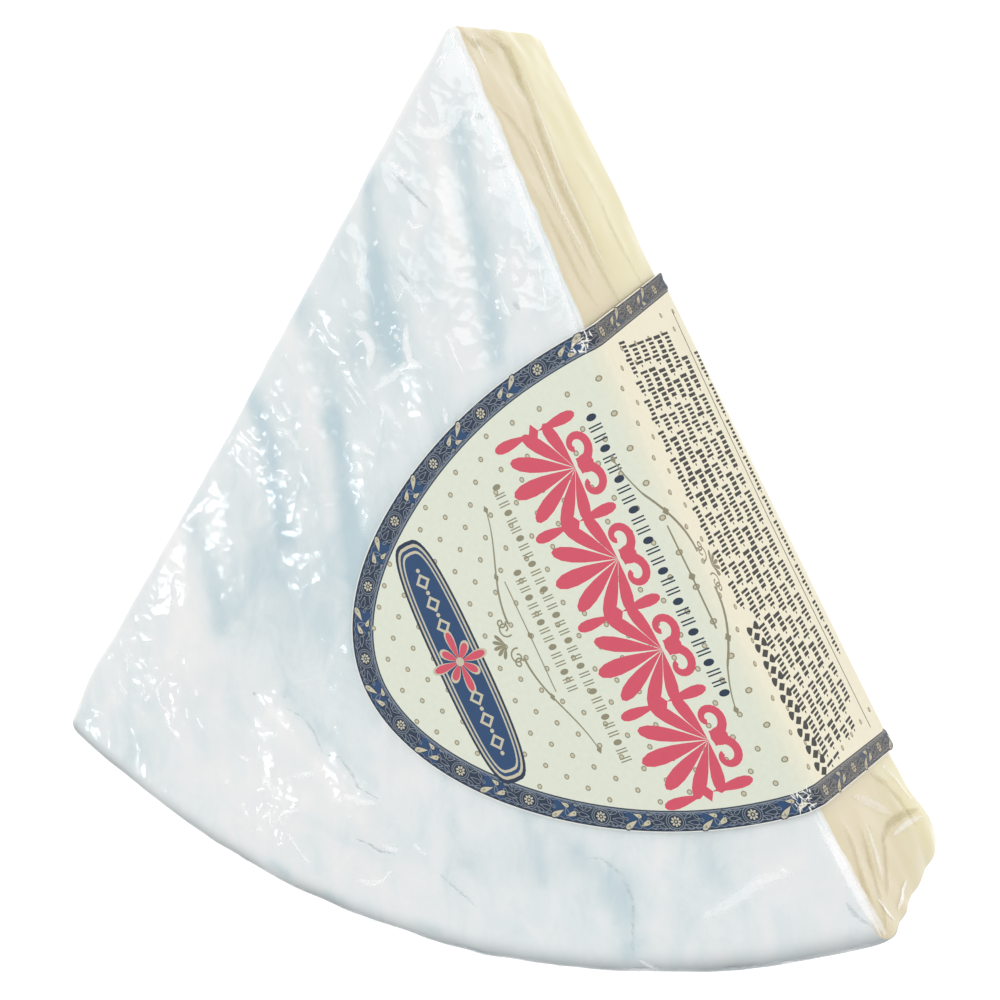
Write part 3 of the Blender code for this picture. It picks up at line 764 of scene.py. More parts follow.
# The same on the labelled cut face, by distance along it and height in mm
FACE_CREASES = (
    (1.0, -0.4, (
        (1.5, 24), (4, 20.6), (7.4, 19.6), (14.5, 20.2), (21.6, 22), (30, 22.6), (43, 21.6), (52, 20.6),
    )),
    (0.6, -0.4, ((2.2, 25), (4.2, 22.6), (5.4, 18.6), (9.2, 18.8), (12.4, 20.4))),
    (0.5, 0.35, ((8, 17.6), (16, 18.6), (24, 20.4), (34, 20.6), (46, 19.4))),
    (0.8, -0.4, ((15.4, 33), (18.4, 30.4), (21.5, 28.2), (25, 27.8), (31, 28), (38, 27.6), (46, 26.8))),
    (0.5, 0.35, ((20, 26.4), (26, 26), (33, 26.2), (42, 25))),
    (0.7, -0.3, ((29.5, 33.6), (33, 32.4), (39, 31.4), (45, 30.6), (50.5, 29))),
    (0.5, 0.4, ((3, 30.5), (6, 29.2), (9, 30))),
    (0.7, -0.45, ((3, 33.6), (5, 31), (4.2, 27.6), (6.4, 25))),
    (0.6, -0.3, ((26, 14), (33, 11.6), (41, 12), (50, 9))),
    (0.7, -0.5, ((150.6, 5.6), (148.6, 12), (147.6, 18), (148.2, 24))),
    (0.5, 0.55, ((151.8, 6), (150, 13), (149.2, 19))),
    (0.6, -0.45, ((142.4, 29), (145.2, 29.6), (149.6, 32), (153.4, 34.6), (157, 37.4))),
    (0.6, -0.45, ((147, 21.6), (149.3, 24), (151.7, 27.4), (154, 31.4))),
    (0.8, 0.4, ((143.6, 26.4), (147.6, 27.6), (151.4, 30.6))),
    (0.9, 0.35, ((138.6, 26), (142.6, 20), (147, 15))),
    (0.7, -0.35, ((139.4, 15), (143, 11), (147, 9), (152, 9.6))),
    (0.6, 0.4, ((140, 9), (144, 6.4), (150, 5))),
    (0.4, 0.8, ((155.6, 22), (156.4, 26), (157, 30.4))),
    (0.7, -0.4, ((140, 34), (143.8, 34.6), (148, 36.6), (153, 38.2))),
    (0.9, 0.9, ((139, 38.9), (146, 38.9), (152, 38.5), (157.5, 37.4))),
    (0.4, 0.9, ((152, 35.6), (155, 34.4), (157.4, 33))),
)
# A painted highlight of the film along the cut edge, by distance along it and depth in from the face
EDGE_CREASES = (
    (0.55, 0.95, ((1.5, 1.1), (12, 0.9), (30, 1.0), (44, 0.9), (52.6, 1.0))),
    (0.5, 0.9, ((136, 1.0), (146, 0.9), (157.4, 1.1))),
)
CREASE_SEED = 3
# Chance creases on the rim: turns about the point and reaches in radians, the rest in mm
RIM_CREASES = (-0.52, 0.53, 0.035)    # first turn, last turn and step
RIM_SHIFT = (-0.012, 0.012)
RIM_REACH = (0.006, 0.022)
RIM_RADIUS = (157.6, 158.6)
RIM_HALF_WIDTH = (0.25, 0.6)
# Chance creases on the plain face, in mm
PLAIN_CREASES = 16
PLAIN_START = (4, 120)
PLAIN_HEIGHT = (7, 31)
PLAIN_LENGTH = (14, 32)
PLAIN_SWING = (-1.4, 1.4)
PLAIN_HALF_WIDTH = (0.5, 0.9)
# The strips themselves
STRIP_LANES = (-1, -0.6, -0.2, 0.2, 0.6, 1)
RAGGED_LENGTH = 1.1 * MM              # how soon a strip's width, its course and its whiteness change
DRIFT_LENGTH = 1.7 * MM
BROKEN_LENGTH = 0.9 * MM
WIDTH_SWING = 0.9
DRIFT = 0.35                          # in half widths, as is how far a strip stands up at its middle
STRIP_HEIGHT = 0.02
GAP_SWING = 1.5
SHORT_CREASE = 0.55                   # mm, half width under which a crease on the top is ragged
STATION_STEP = 0.35 * MM
ABOVE = 60 * MM                       # where rays towards the film start


def crease_jobs():
    """Every crease with where it lies: those drawn above, then chance ones on the rim and the plain face."""
    drawn = {"top": TOP_CREASES, "face": FACE_CREASES, "edge": EDGE_CREASES}
    jobs = [(*crease, where) for where, creases in drawn.items() for crease in creases]
    chance = random.Random(CREASE_SEED)
    for turn in np.arange(*RIM_CREASES):
        start = turn + chance.uniform(*RIM_SHIFT)
        reach = chance.uniform(*RIM_REACH)
        radius = chance.uniform(*RIM_RADIUS)
        turns = [start + step for step in (0, reach, 2 * reach)]
        line = [(radius * math.sin(bearing), -radius * math.cos(bearing)) for bearing in turns]
        jobs.append((chance.uniform(*RIM_HALF_WIDTH), chance.choice((-0.6, -0.4, 0.5)), line, "top"))
    for _ in range(PLAIN_CREASES):
        start, height, length = (chance.uniform(*span) for span in (PLAIN_START, PLAIN_HEIGHT, PLAIN_LENGTH))
        line = [
            (start + share * length, height + chance.uniform(*PLAIN_SWING))
            for share in (0, 0.35, 0.7, 1)
        ]
        jobs.append((chance.uniform(*PLAIN_HALF_WIDTH), chance.choice((-0.4, -0.3, 0.35)), line, "plain"))
    return jobs


def travel(line):
    """How far along a line each of its points lies."""
    return np.concatenate(((0,), np.cumsum(np.linalg.norm(np.diff(line, axis=0), axis=1))))


def crease_stations(surface, line, where):
    """Places on the film and its normals there, at close steps along a crease's line in mm."""
    corners = np.array(line) * MM
    travelled = travel(corners)
    samples = np.linspace(0, travelled[-1], max(5, int(travelled[-1] / STATION_STEP)))
    stations = []
    for first, second in zip(*(np.interp(samples, travelled, corners[:, axis]) for axis in (0, 1))):
        if where == "edge":
            straight = (first * CUT_ALONG - second * CUT_OUTWARD)[None]
            first, second = give_way(straight, top_height(straight))[0]
        if where in ("top", "edge"):
            origin, direction = np.array((first, second, ABOVE)), (0, 0, -1)
        else:
            side = (-1 if where == "plain" else 1, 1)
            plan = (first * CUT_ALONG + CUT_OUTWARD * ABOVE) * side
            origin, direction = np.array((*plan, second)), (*(-CUT_OUTWARD * side), 0)
        hit, normal, _, _ = surface.ray_cast(Vector(origin + POINT), Vector(direction))
        if hit is not None:
            stations.append((np.array(hit), np.array(normal)))
    return stations


def crease_strip(stations, half_width, white, seed, calm):
    """Points, faces and painted light of one strip along places on the film: a white glint, or painted shade
    where white is below 0.
    """
    places, normals = (np.array(part) for part in zip(*stations))
    across = np.cross(normals, np.gradient(places, axis=0))
    across = across / np.linalg.norm(across, axis=1)[:, None]
    share = np.linspace(0, 1, len(places))
    ragged = 1.25 + (1 - calm) * WIDTH_SWING * noise_at(places, RAGGED_LENGTH, seed)
    spread = half_width * np.sin(math.pi * np.clip(share, 0.03, 0.97)) ** 0.45 * np.clip(ragged, 0.45, 2)
    drift = DRIFT * (1 - calm) * half_width * noise_at(places, DRIFT_LENGTH, seed + 9)
    ends = np.sin(math.pi * np.clip(share, 0, 1)) ** 0.3
    points, shares = [], []
    for lane in STRIP_LANES:
        rise_share = 1 - lane * lane
        lane_places = places + across * (lane * spread + drift)[:, None]
        points.append(lane_places + normals * (STRIP_LIFT + STRIP_HEIGHT * spread * rise_share)[:, None])
        broken = np.clip(0.85 + GAP_SWING * noise_at(lane_places, BROKEN_LENGTH, seed + 4), 0.15, 1)
        whole = broken * (1 - calm) + calm
        shares.append(rise_share ** (0.3 if white > 0 else 0.8) * abs(white) * ends * whole)
    count = len(places)
    faces = []
    for lane in range(len(STRIP_LANES) - 1):
        for low in range(lane * count, (lane + 1) * count - 1):
            faces.append((low, low + 1, low + 1 + count, low + count))
    return np.concatenate(points), faces, np.concatenate(shares)


def make_creases(film):
    """All the painted glints and shade of the film's creases, as narrow raised strips that follow the film's
    surface.
    """
    corners = [corner.co for corner in film.data.vertices]
    surface = BVHTree.FromPolygons(corners, [face.vertices for face in film.data.polygons])
    points, faces, painted_light_share, shadow = [], [], [], []
    for number, (half_width, white, line, where) in enumerate(crease_jobs()):
        stations = crease_stations(surface, line, where)
        if len(stations) < 4:
            continue
        calm = 0.15 if where == "top" and half_width < SHORT_CREASE else 0.8
        strip, strip_faces, shares = crease_strip(stations, half_width * MM, white, number * 1.7, calm)
        faces.extend(tuple(corner + len(painted_light_share) for corner in face) for face in strip_faces)
        points.extend(strip.tolist())
        painted_light_share.extend(shares.tolist())
        # painted shade is warm over the paste and cool over the rind
        dull = 0.5 if where in ("face", "plain") else 1.0
        shadow.extend([dull if white < 0 else 0.0] * len(shares))
    mesh = bpy.data.meshes.new("film_crease_glints_and_shade")
    mesh.from_pydata(points, [], faces)
    creases = bpy.data.objects.new("film_crease_glints_and_shade", mesh)
    take_up(creases)
    mesh.shade_smooth()
    write_attribute(creases, "painted_light_share", np.array(painted_light_share))
    write_attribute(creases, "in_shadow", np.array(shadow))
    mesh.materials.append(crease_material())
    creases.visible_shadow = False    # painted glints and shade, far too thin to shade the film it lies on
    return creases


# Label: drawn flat, cut into one sheet of small faces and folded over the edge

# The inks from the paper up, each with its colour over the rind and down the side
INKS = (
    ("coated_label_paper", "#E4E9D8", "#EEE7CF"),
    ("navy_ink_on_label", "#2D4D75", "#38465A"),
    ("dark_ink_on_label", "#2B3A50", "#34363D"),
    ("cream_ink_on_label", "#CCC6AE", "#C0B393"),
    ("pale_line_on_label", "#828B94", "#807D79"),
    ("red_ink_on_label", "#D9576B", "#D9576B"),
    ("taupe_ink_on_label", "#948F76", "#8E836B"),
    ("black_ink_on_label", "#33322E", "#15130F"),
    ("worn_white_of_label", "#F1F2EA", "#F4EFE2"),
)
PAPER, NAVY, DARK, CREAM, PALE, RED, TAUPE, BLACK, WORN = range(len(INKS))

BORDER = 3.8 * MM
BORDER_REPEAT = 13.6 * MM
RING_RADIUS = 0.5 * MM
RING_HOLE = 0.32 * MM
RING_PITCH = 5.9 * MM
RING_ROWS = 2.85 * MM
RING_MARGIN = 5.2 * MM       # how far the rings stay from the label's sides, its foot and its tip
RING_FOOT = 1 * MM
RING_TIP = 6 * MM
TICKS_FROM = -6 * MM         # the depth below which the ticks begin, and how far they stay from the sides
TICKS_LEFT = 9.5 * MM
TICKS_RIGHT = 8 * MM
HAIRLINE = 0.12 * MM
FINE_LINE = 0.13 * MM
THIN_RULE = 0.22 * MM
PRINT_SEED = 5
SCRATCHES = 22               # at each of the two places where the border crosses the fold
SHEET_STEP = 2.6 * MM        # spacing of the points that keep the sheet's faces small
BEND_LINES = 9               # lines across the sheet where it bends over the cut edge
BEND_LINE_POINTS = 60
SAME_PLACE = 1e-5            # mm
CRISP_EDGE = math.radians(40)

# Leaf outlines beside a rosette: share of a repeat, place across and length in mm, and lean
BORDER_LEAVES = (
    (0.17, 0.9, 1.5, 0.5), (0.17, -0.9, 1.5, -0.5), (0.23, 0.2, 2.0, 0.1),
    (0.27, -0.9, 1.3, 0.9), (0.28, 1.0, 1.2, -0.3), (0.33, -0.2, 1.1, 0.4),
)
# Drops on the blue: share of a repeat, place across, length and width in mm, and lean
BORDER_DROPS = (
    (0.41, 0.75, 2.7, 0.66, 2.5), (0.5, -0.85, 1.5, 0.5, 0.3),
    (0.6, 0.5, 2.3, 0.6, -0.5), (0.66, -1.1, 1.1, 0.36, 3.3),
)
# What lies under the border's ornament and inside it, each by its inset from the label's edge
BORDER_RULES = (
    (WORN, 0), (DARK, 0.16 * MM), (NAVY, 0.55 * MM),
    (PALE, BORDER - 0.45 * MM), (DARK, BORDER - 0.22 * MM), (PAPER, BORDER),
)
# Rows of ticks: depth, start, end and height in mm, and the share of bold groups
TICK_ROWS = (
    (-7.6, 57, 103.5, 2.3, 0.0),
    (-11.0, 58, 131.5, 2.75, 0.15),
    (-14.4, 58, 131.5, 2.75, 0.3),
    (-17.9, 58, 131.5, 2.75, 0.6),
    (-21.4, 58, 131.5, 2.75, 0.6),
    (-25.0, 58, 131.5, 2.75, 0.3),
    (-28.6, 63, 127, 2.7, 0.2),
    (-33.9, 63, 120, 1.6, 0.0),
)
TICK = (0.45 * MM, 0.74 * MM)         # width and step
BOLD_TICK = (0.62 * MM, 0.88 * MM)
ROW_LEAN = 0.034                      # how the rows climb along the label
ROW_PIVOT = 95 * MM
SIDE_RULE = -31.7 * MM
LEAF_ROW = (106.8 * MM, -7.3 * MM)    # where the row of leaves starts and its depth
LEAF_PITCH = 2.9 * MM
LEAVES = 9


def border_share(depth):
    """The border is wider at the label's tip than at its feet."""
    return 0.93 + 0.25 * smooth(depth, 12 * MM, 60 * MM)


def label_edge(inset):
    """The label's outline without its foot, from the left foot over the tip to the right foot."""
    rising = np.sin(np.linspace(0, math.pi / 2, 46)) * LABEL_REACH
    walls = np.linspace(LABEL_FOOT, 0, 14, endpoint=False)
    depths = np.concatenate((walls, rising))
    left, right = label_span(depths)
    line = np.concatenate((np.column_stack((left, depths)), np.column_stack((right, depths))[-2::-1]))
    ahead = np.gradient(line, axis=0)
    ahead = ahead / np.linalg.norm(ahead, axis=1)[:, None]
    inset = inset * border_share(line[:, 1])
    inner = line + np.column_stack((ahead[:, 1], -ahead[:, 0])) * inset[:, None]
    inner[[0, -1], 1] = LABEL_FOOT
    return inner


def label_sides(depth):
    """The label's two side edges at one depth, as plain numbers."""
    return (float(edge) for edge in label_span(np.array(depth)))


def dot(centre, radius, corners=10, flat=1.0):
    """A round dot, or an oval one when it is flattened along."""
    turns = np.arange(corners) * 2 * math.pi / corners
    return np.asarray(centre) + radius * np.column_stack((np.cos(turns) * flat, np.sin(turns)))


def box_shape(low, high):
    """An upright rectangle between two corners."""
    return np.array((low, (high[0], low[1]), high, (low[0], high[1])))


def diamond(centre, half_width, half_height):
    """An upright diamond."""
    corners = ((-half_width, 0), (0, -half_height), (half_width, 0), (0, half_height))
    return np.asarray(centre) + np.array(corners)


def turned(shape, angle, place):
    """A shape turned about its own origin and moved to a place."""
    sine, cosine = math.sin(angle), math.cos(angle)
    return np.asarray(shape) @ np.array(((cosine, sine), (-sine, cosine))) + place


def teardrop(length, width):
    """A leaf or drop, pointed at its origin and round at its far end."""
    turns = np.linspace(0, 2 * math.pi, 16, endpoint=False)
    breadth = width * np.sin(turns) * np.sin(turns / 2) ** 1.5
    return np.column_stack((length * (1 - np.cos(turns)) / 2, breadth))


def middled_drop(length, width):
    """A leaf or drop about its own middle."""
    return teardrop(length, width) - (length / 2, 0)


def stroke(ink, line, widths):
    """A line of changing width, as a row of small four-sided shapes."""
    line = np.asarray(line)
    widths = np.broadcast_to(widths, len(line))
    ahead = np.gradient(line, axis=0)
    ahead = ahead / np.linalg.norm(ahead, axis=1)[:, None]
    across = np.column_stack((-ahead[:, 1], ahead[:, 0])) * (widths / 2)[:, None]
    left, right = line + across, line - across
    return [(ink, np.array((right[i], right[i + 1], left[i + 1], left[i]))) for i in range(len(line) - 1)]


def outlined(ink, shape, angle, place, width):
    """A thin line all round a shape that is turned and moved to a place."""
    return stroke(ink, turned(np.vstack((shape, shape[:1])), angle, place), width)


def scroll(place, angle, size, turns=1.4, mirror=1, steps=18):
    """A spiral line that winds in from its outer end."""
    share = np.linspace(0, 1, steps)
    winding = share * turns * 2 * math.pi
    reach = size * (1 - 0.8 * share)
    line = np.column_stack((size - reach * np.cos(winding), mirror * reach * np.sin(winding)))
    return turned(line, angle, np.asarray(place))


def rosette(here, angle):
    """Eight round petals in two thin rings."""
    shapes = []
    for reach in (1.5, 1.18):
        shapes += outlined(PALE, dot((0, 0), reach * MM, 20, 1.12), angle, here, FINE_LINE)
    shapes.append((CREAM, dot(here, 0.2 * MM, 6)))
    petal_shape = dot((0.62 * MM, 0), 0.2 * MM, 6, 1.5)
    for petal in range(8):
        shapes.append((CREAM, turned(petal_shape, angle + petal * math.pi / 4, here)))
    return shapes


def border_shapes():
    """The navy border: dark medallions with a rosette, and comma-shaped drops on the blue between them."""
    shapes = []
    line = label_edge(BORDER / 2)
    travelled = travel(line)
    count = round(travelled[-1] / BORDER_REPEAT)
    repeat = travelled[-1] / count
    half_field = BORDER / 2 - 0.5 * MM

    def at(distance, across=0.0):
        """A place at a distance along the border and across its middle line, and its direction."""
        here, there = (
            np.array([np.interp(reach, travelled, line[:, axis]) for axis in (0, 1)])
            for reach in (distance, distance + 0.5 * MM)
        )
        angle = math.atan2(*(there - here)[::-1])
        across = across * border_share(here[1])
        return here + across * np.array((-math.sin(angle), math.cos(angle))), angle

    def along_border(first, last, swing, parts):
        """Places along the border between two shares of the whole, at a changing place across."""
        shares = np.linspace(first, last, parts)
        return [at(share * travelled[-1], swing(share * count))[0] for share in shares]

    def medallion_edge(turn):
        """How far a medallion reaches across, at a turn counted in repeats."""
        return half_field * abs(math.sin(math.pi * turn)) ** 0.5

    for number in range(count):
        start = (number + 0.5) * repeat
        first, last = (number + 0.16) / count, (number + 0.84) / count
        upper = along_border(first, last, medallion_edge, 20)
        lower = along_border(first, last, lambda turn: -medallion_edge(turn), 20)
        shapes.append((DARK, np.array(upper + lower[::-1])))
        shapes += rosette(*at(start))
        for side in (-1, 1):
            for share, across, length, lean in BORDER_LEAVES:
                here, angle = at(start + side * share * repeat, across * MM)
                turn = angle + lean + (0 if side > 0 else math.pi)
                shapes += outlined(PALE, middled_drop(length * MM, length * 0.28 * MM), turn, here, HAIRLINE)
            for share in np.arange(0.1, 0.34, 0.055):
                across = (half_field - 0.2 * MM) * (1 if share < 0.2 else side)
                here, angle = at(start + side * share * repeat, across)
                shapes.append((PALE, dot(here, 0.15 * MM, 5)))
        for share, across, length, width, lean in BORDER_DROPS:
            here, angle = at(start + share * repeat, across * MM)
            turn = angle + lean
            rim = middled_drop((length + 0.5) * MM, (width + 0.28) * MM)
            shapes.append((DARK, turned(rim, turn, here)))
            drop = middled_drop(length * MM, width * MM)
            shapes.append((CREAM if length > 1.4 else PALE, turned(drop, turn, here)))
            eye = dot(((length * 0.2) * MM, 0), width * 0.3 * MM, 6)
            shapes.append((TAUPE, turned(eye, turn, here)))
        here, angle = at(start + 0.53 * repeat, 0.2 * MM)
        shapes += outlined(PALE, middled_drop(1.6 * MM, 0.5 * MM), angle + 1.2, here, FINE_LINE)
    for side in (-1, 1):
        scallops = along_border(
            0, 1,
            lambda turn: side * (half_field + 0.1 * MM - 0.32 * MM * abs(math.sin(turn * math.pi * 9))),
            900,
        )
        shapes += stroke(PALE, scallops, 0.1 * MM)
    return shapes


def ground_shapes():
    """Small rings in staggered rows over the paper, but not over the rows of ticks."""
    shapes = []
    for row in range(-13, 24):
        depth = row * RING_ROWS + 0.9 * MM
        left, right = label_sides(max(depth, LABEL_FOOT))
        start = (row % 2) * RING_PITCH / 2 + 2 * MM
        for column in range(40):
            along = start + column * RING_PITCH
            inside = left + RING_MARGIN < along < right - RING_MARGIN
            if not inside or depth < LABEL_FOOT + RING_FOOT or depth > LABEL_REACH - RING_TIP:
                continue
            if depth < TICKS_FROM and left + TICKS_LEFT < along < right - TICKS_RIGHT:
                continue
            shapes.append((TAUPE, dot((along, depth), RING_RADIUS, 8)))
            shapes.append((CREAM, dot((along, depth), RING_HOLE, 6)))
    return shapes


def bead_row(ink, start, end, depth, height, pitch):
    """A bead-and-reel moulding: ovals with pairs of upright bars between them."""
    shapes = []
    count = round((end - start) / pitch)
    for number in range(count):
        along = start + (number + 0.5) * (end - start) / count
        if number % 3 == 0:
            shapes.append((ink, dot((along, depth), height * 0.4, 10, 0.6)))
            continue
        for offset in (-0.17, 0.17):
            low = (along + (offset - 0.07) * pitch, depth - height / 2)
            high = (along + (offset + 0.07) * pitch, depth + height / 2)
            shapes.append((ink, box_shape(low, high)))
    return shapes


def flourish(middle, depth, sag, up):
    """A long thin rule that bends about its middle, with diamonds, a pair of scrolls and a small palmette."""
    shapes = []
    for side in (-1, 1):
        share = np.linspace(0, 1, 20)
        line = np.column_stack((
            middle + side * (3 + 18.5 * share) * MM,
            depth + (sag * np.sin(math.pi * (0.5 + share * 0.9))) * MM * up,
        ))
        shapes += stroke(TAUPE, line, np.linspace(0.42, 0.2, 20) * MM)
        for place in (0.45, 1.0):
            shapes.append((TAUPE, diamond(line[int(place * 19)], 0.75 * MM, 0.5 * MM)))
        for size, turn, offset in ((1.5, 0.5, 1.2), (1.0, 1.5, 3.6)):
            end = (middle + side * offset * MM, depth + up * (sag + 0.3) * MM)
            angle = up * (turn if side > 0 else math.pi - turn)
            shapes += stroke(TAUPE, scroll(end, angle, size * MM, 1.1, side * up), 0.3 * MM)
    for petal in range(-2, 3):
        turn = up * (math.pi / 2 + petal * 0.5)
        middle_place = np.array((middle, depth + up * (sag + 2.2) * MM))
        shapes.append((TAUPE, turned(teardrop(2.6 * MM, 0.5 * MM), turn, middle_place)))
    return shapes


def palmette(middle, foot, height, half_width):
    """A bold fan of seven petals over two curls."""
    shapes = []
    base = np.array((middle, foot + 0.24 * height))
    for petal in range(-3, 4):
        lean = petal / 3
        length = height * (0.76 - 0.24 * abs(lean) ** 1.5)
        width = height * (0.115 - 0.02 * abs(lean))
        shapes.append((RED, turned(teardrop(length, width), math.pi / 2 - lean * 1.32, base)))
    for side in (-1, 1):
        end = (middle + side * 0.06 * half_width, foot + 0.2 * height)
        curl = scroll(end, -0.35 if side > 0 else math.pi + 0.35, half_width * 0.36, 0.95, -side, 20)
        shapes += stroke(RED, curl, np.linspace(0.1, 0.05, 20) * height)
    shapes.append((RED, dot((middle, foot + 0.12 * height), 0.09 * height, 12)))
    return shapes


def red_shapes():
    """A bold frieze of palmettes between upright pairs of drops."""
    shapes = []
    low, high, start, end = 6.6 * MM, 23.6 * MM, 64 * MM, 127 * MM
    middle = (low + high) / 2
    count = 4
    pitch = (end - start) / count
    for number in range(count):
        shapes += palmette(start + (number + 0.5) * pitch, low, high - low, pitch / 2)
    for number in range(count + 1):
        along = start + number * pitch
        for side in (-1, 1):
            foot = (along, middle + side * 0.7 * MM)
            shapes.append((RED, turned(teardrop(7.6 * MM, 1.35 * MM), side * math.pi / 2, foot)))
        shapes.append((RED, diamond((along, middle), 1.5 * MM, 1.0 * MM)))
    return shapes


def plaque_shapes():
    """A long navy cartouche with a cream line inside it and a small red flower at its middle."""
    middle = np.array((92.8 * MM, 47.6 * MM))
    half_length, half_height = 21.5 * MM, 4.3 * MM
    shapes = []
    for ink, inset in ((DARK, -0.45), (CREAM, 0), (NAVY, 0.35), (CREAM, 0.75), (NAVY, 1.05)):
        turns = np.linspace(0, 2 * math.pi, 48, endpoint=False)
        reach = np.array((half_length - inset * 1.6 * MM, half_height - inset * MM))
        bent = np.column_stack((
            np.sign(np.cos(turns)) * np.abs(np.cos(turns)) ** 0.75,
            np.sign(np.sin(turns)) * np.abs(np.sin(turns)) ** 0.55,
        ))
        shapes.append((ink, middle + bent * reach))
    for side in (-1, 1):
        for step in range(1, 4):
            place = middle + (side * (2.5 + step * 4.1) * MM, 0)
            shapes.append((CREAM, diamond(place, 1.5 * MM, 1.5 * MM)))
            shapes.append((NAVY, diamond(place, 0.85 * MM, 0.85 * MM)))
            shapes.append((CREAM, dot(place + (side * 2.05 * MM, 0), 0.4 * MM, 8)))
    for ink, longer, width in ((CREAM, 0.5, 1.25), (RED, 0, 0.95)):
        for petal in range(8):
            length = 5.4 if petal % 2 == 0 else 3.6
            flower_petal = teardrop((length + longer) * MM, width * MM)
            shapes.append((ink, turned(flower_petal, petal * math.pi / 4, middle)))
    shapes.append((CREAM, dot(middle, 0.8 * MM)))
    return shapes


def tick_rows():
    """Rows of plain upright ticks and dots down the side, under a bold row of leaves and diamonds."""
    chance = random.Random(PRINT_SEED)
    shapes = []

    def row_depth(depth, along):
        """The rows lean a little against the fold."""
        return depth + ROW_LEAN * (along - ROW_PIVOT)

    def ticks(depth, start, end, height, bold_share):
        """One row: groups of ticks of two heights, with dots between the groups."""
        along = start
        while along < end:
            tick, step = BOLD_TICK if chance.random() < bold_share else TICK
            for number in range(chance.randint(3, 10)):
                if along > end:
                    break
                tall = height * (1.0 if number % 4 == 0 else 0.72)
                low = row_depth(depth, along) - height * 0.35
                shapes.append((BLACK, box_shape((along, low), (along + tick, low + tall))))
                along += step
            shapes.append((BLACK, dot((along + 0.15 * MM, row_depth(depth, along)), 0.26 * MM, 6)))
            along += 1.0 * MM

    for depth, start, end, height, bold_share in TICK_ROWS:
        ticks(depth * MM, start * MM, end * MM, height * MM, bold_share)
    rule = np.array([(along * MM, row_depth(SIDE_RULE, along * MM)) for along in (55, 75, 95, 115, 134)])
    shapes.extend(stroke(BLACK, rule, 0.25 * MM))
    leaf_start, leaf_depth = LEAF_ROW
    for number in range(LEAVES):
        along = leaf_start + number * LEAF_PITCH
        middle = np.array((along, row_depth(leaf_depth, along)))
        for side in (-1, 1):
            leaf = turned(teardrop(2.3 * MM, 1.05 * MM), side * math.pi / 2, middle + (0, side * 0.05 * MM))
            shapes.append((BLACK, leaf))
        shapes.append((BLACK, diamond(middle + (LEAF_PITCH / 2, 0), 0.72 * MM, 1.5 * MM)))
    return shapes


def worn_shapes():
    """Short scratches through the ink where the border crosses the fold."""
    chance = random.Random(PRINT_SEED + 1)
    shapes = []
    crossings = (
        (LABEL_LEFT + 0.2 * MM, LABEL_LEFT + 3.4 * MM),
        (LABEL_RIGHT - 3.6 * MM, LABEL_RIGHT - 0.3 * MM),
    )
    for left, right in crossings:
        for _ in range(SCRATCHES):
            place = np.array((chance.uniform(left, right), chance.gauss(1.3, 0.75) * MM))
            turn = chance.choice((0, 0, math.pi / 2)) + chance.uniform(-0.5, 0.5)
            length = chance.uniform(0.5, 1.5) * MM
            line = np.array(((-length / 2, 0), (0, chance.uniform(-0.1, 0.1) * MM), (length / 2, 0)))
            widths = np.array((0.08, chance.uniform(0.14, 0.3), 0.06)) * MM
            shapes += stroke(WORN, turned(line, turn, place), widths)
    return shapes


def short_rule(ends, middle):
    """A short thin rule through three points, with a diamond on the middle one."""
    first, last = ends
    line = np.array((first, middle, last)) * MM
    return stroke(TAUPE, line, THIN_RULE) + [(TAUPE, diamond(line[1], 0.8 * MM, 0.5 * MM))]


def label_shapes():
    """All the print in the order it is laid down, later shapes over earlier ones."""
    shapes = [(ink, label_edge(inset)) for ink, inset in BORDER_RULES]
    shapes += ground_shapes()
    shapes += border_shapes()
    shapes += flourish(93.2 * MM, 32.6 * MM, 2.9, 1)
    shapes += short_rule(((83.6, 32.5), (103.4, 32.6)), (93.3, 32.5))
    shapes += bead_row(TAUPE, 82.4 * MM, 104.6 * MM, 29.4 * MM, 2.1 * MM, 1.5 * MM)
    shapes += bead_row(TAUPE, 68.4 * MM, 118.4 * MM, 26 * MM, 2.1 * MM, 1.5 * MM)
    shapes += red_shapes()
    shapes += bead_row(DARK, 65 * MM, 114 * MM, 4.4 * MM, 2.4 * MM, 1.75 * MM)
    shapes += short_rule(((86, 0.8), (103.5, 1.0)), (94.7, 0.8))
    shapes += flourish(94.7 * MM, 1.2 * MM, 2.9, -1)
    shapes += plaque_shapes()
    shapes += tick_rows()
    shapes += worn_shapes()
    return shapes


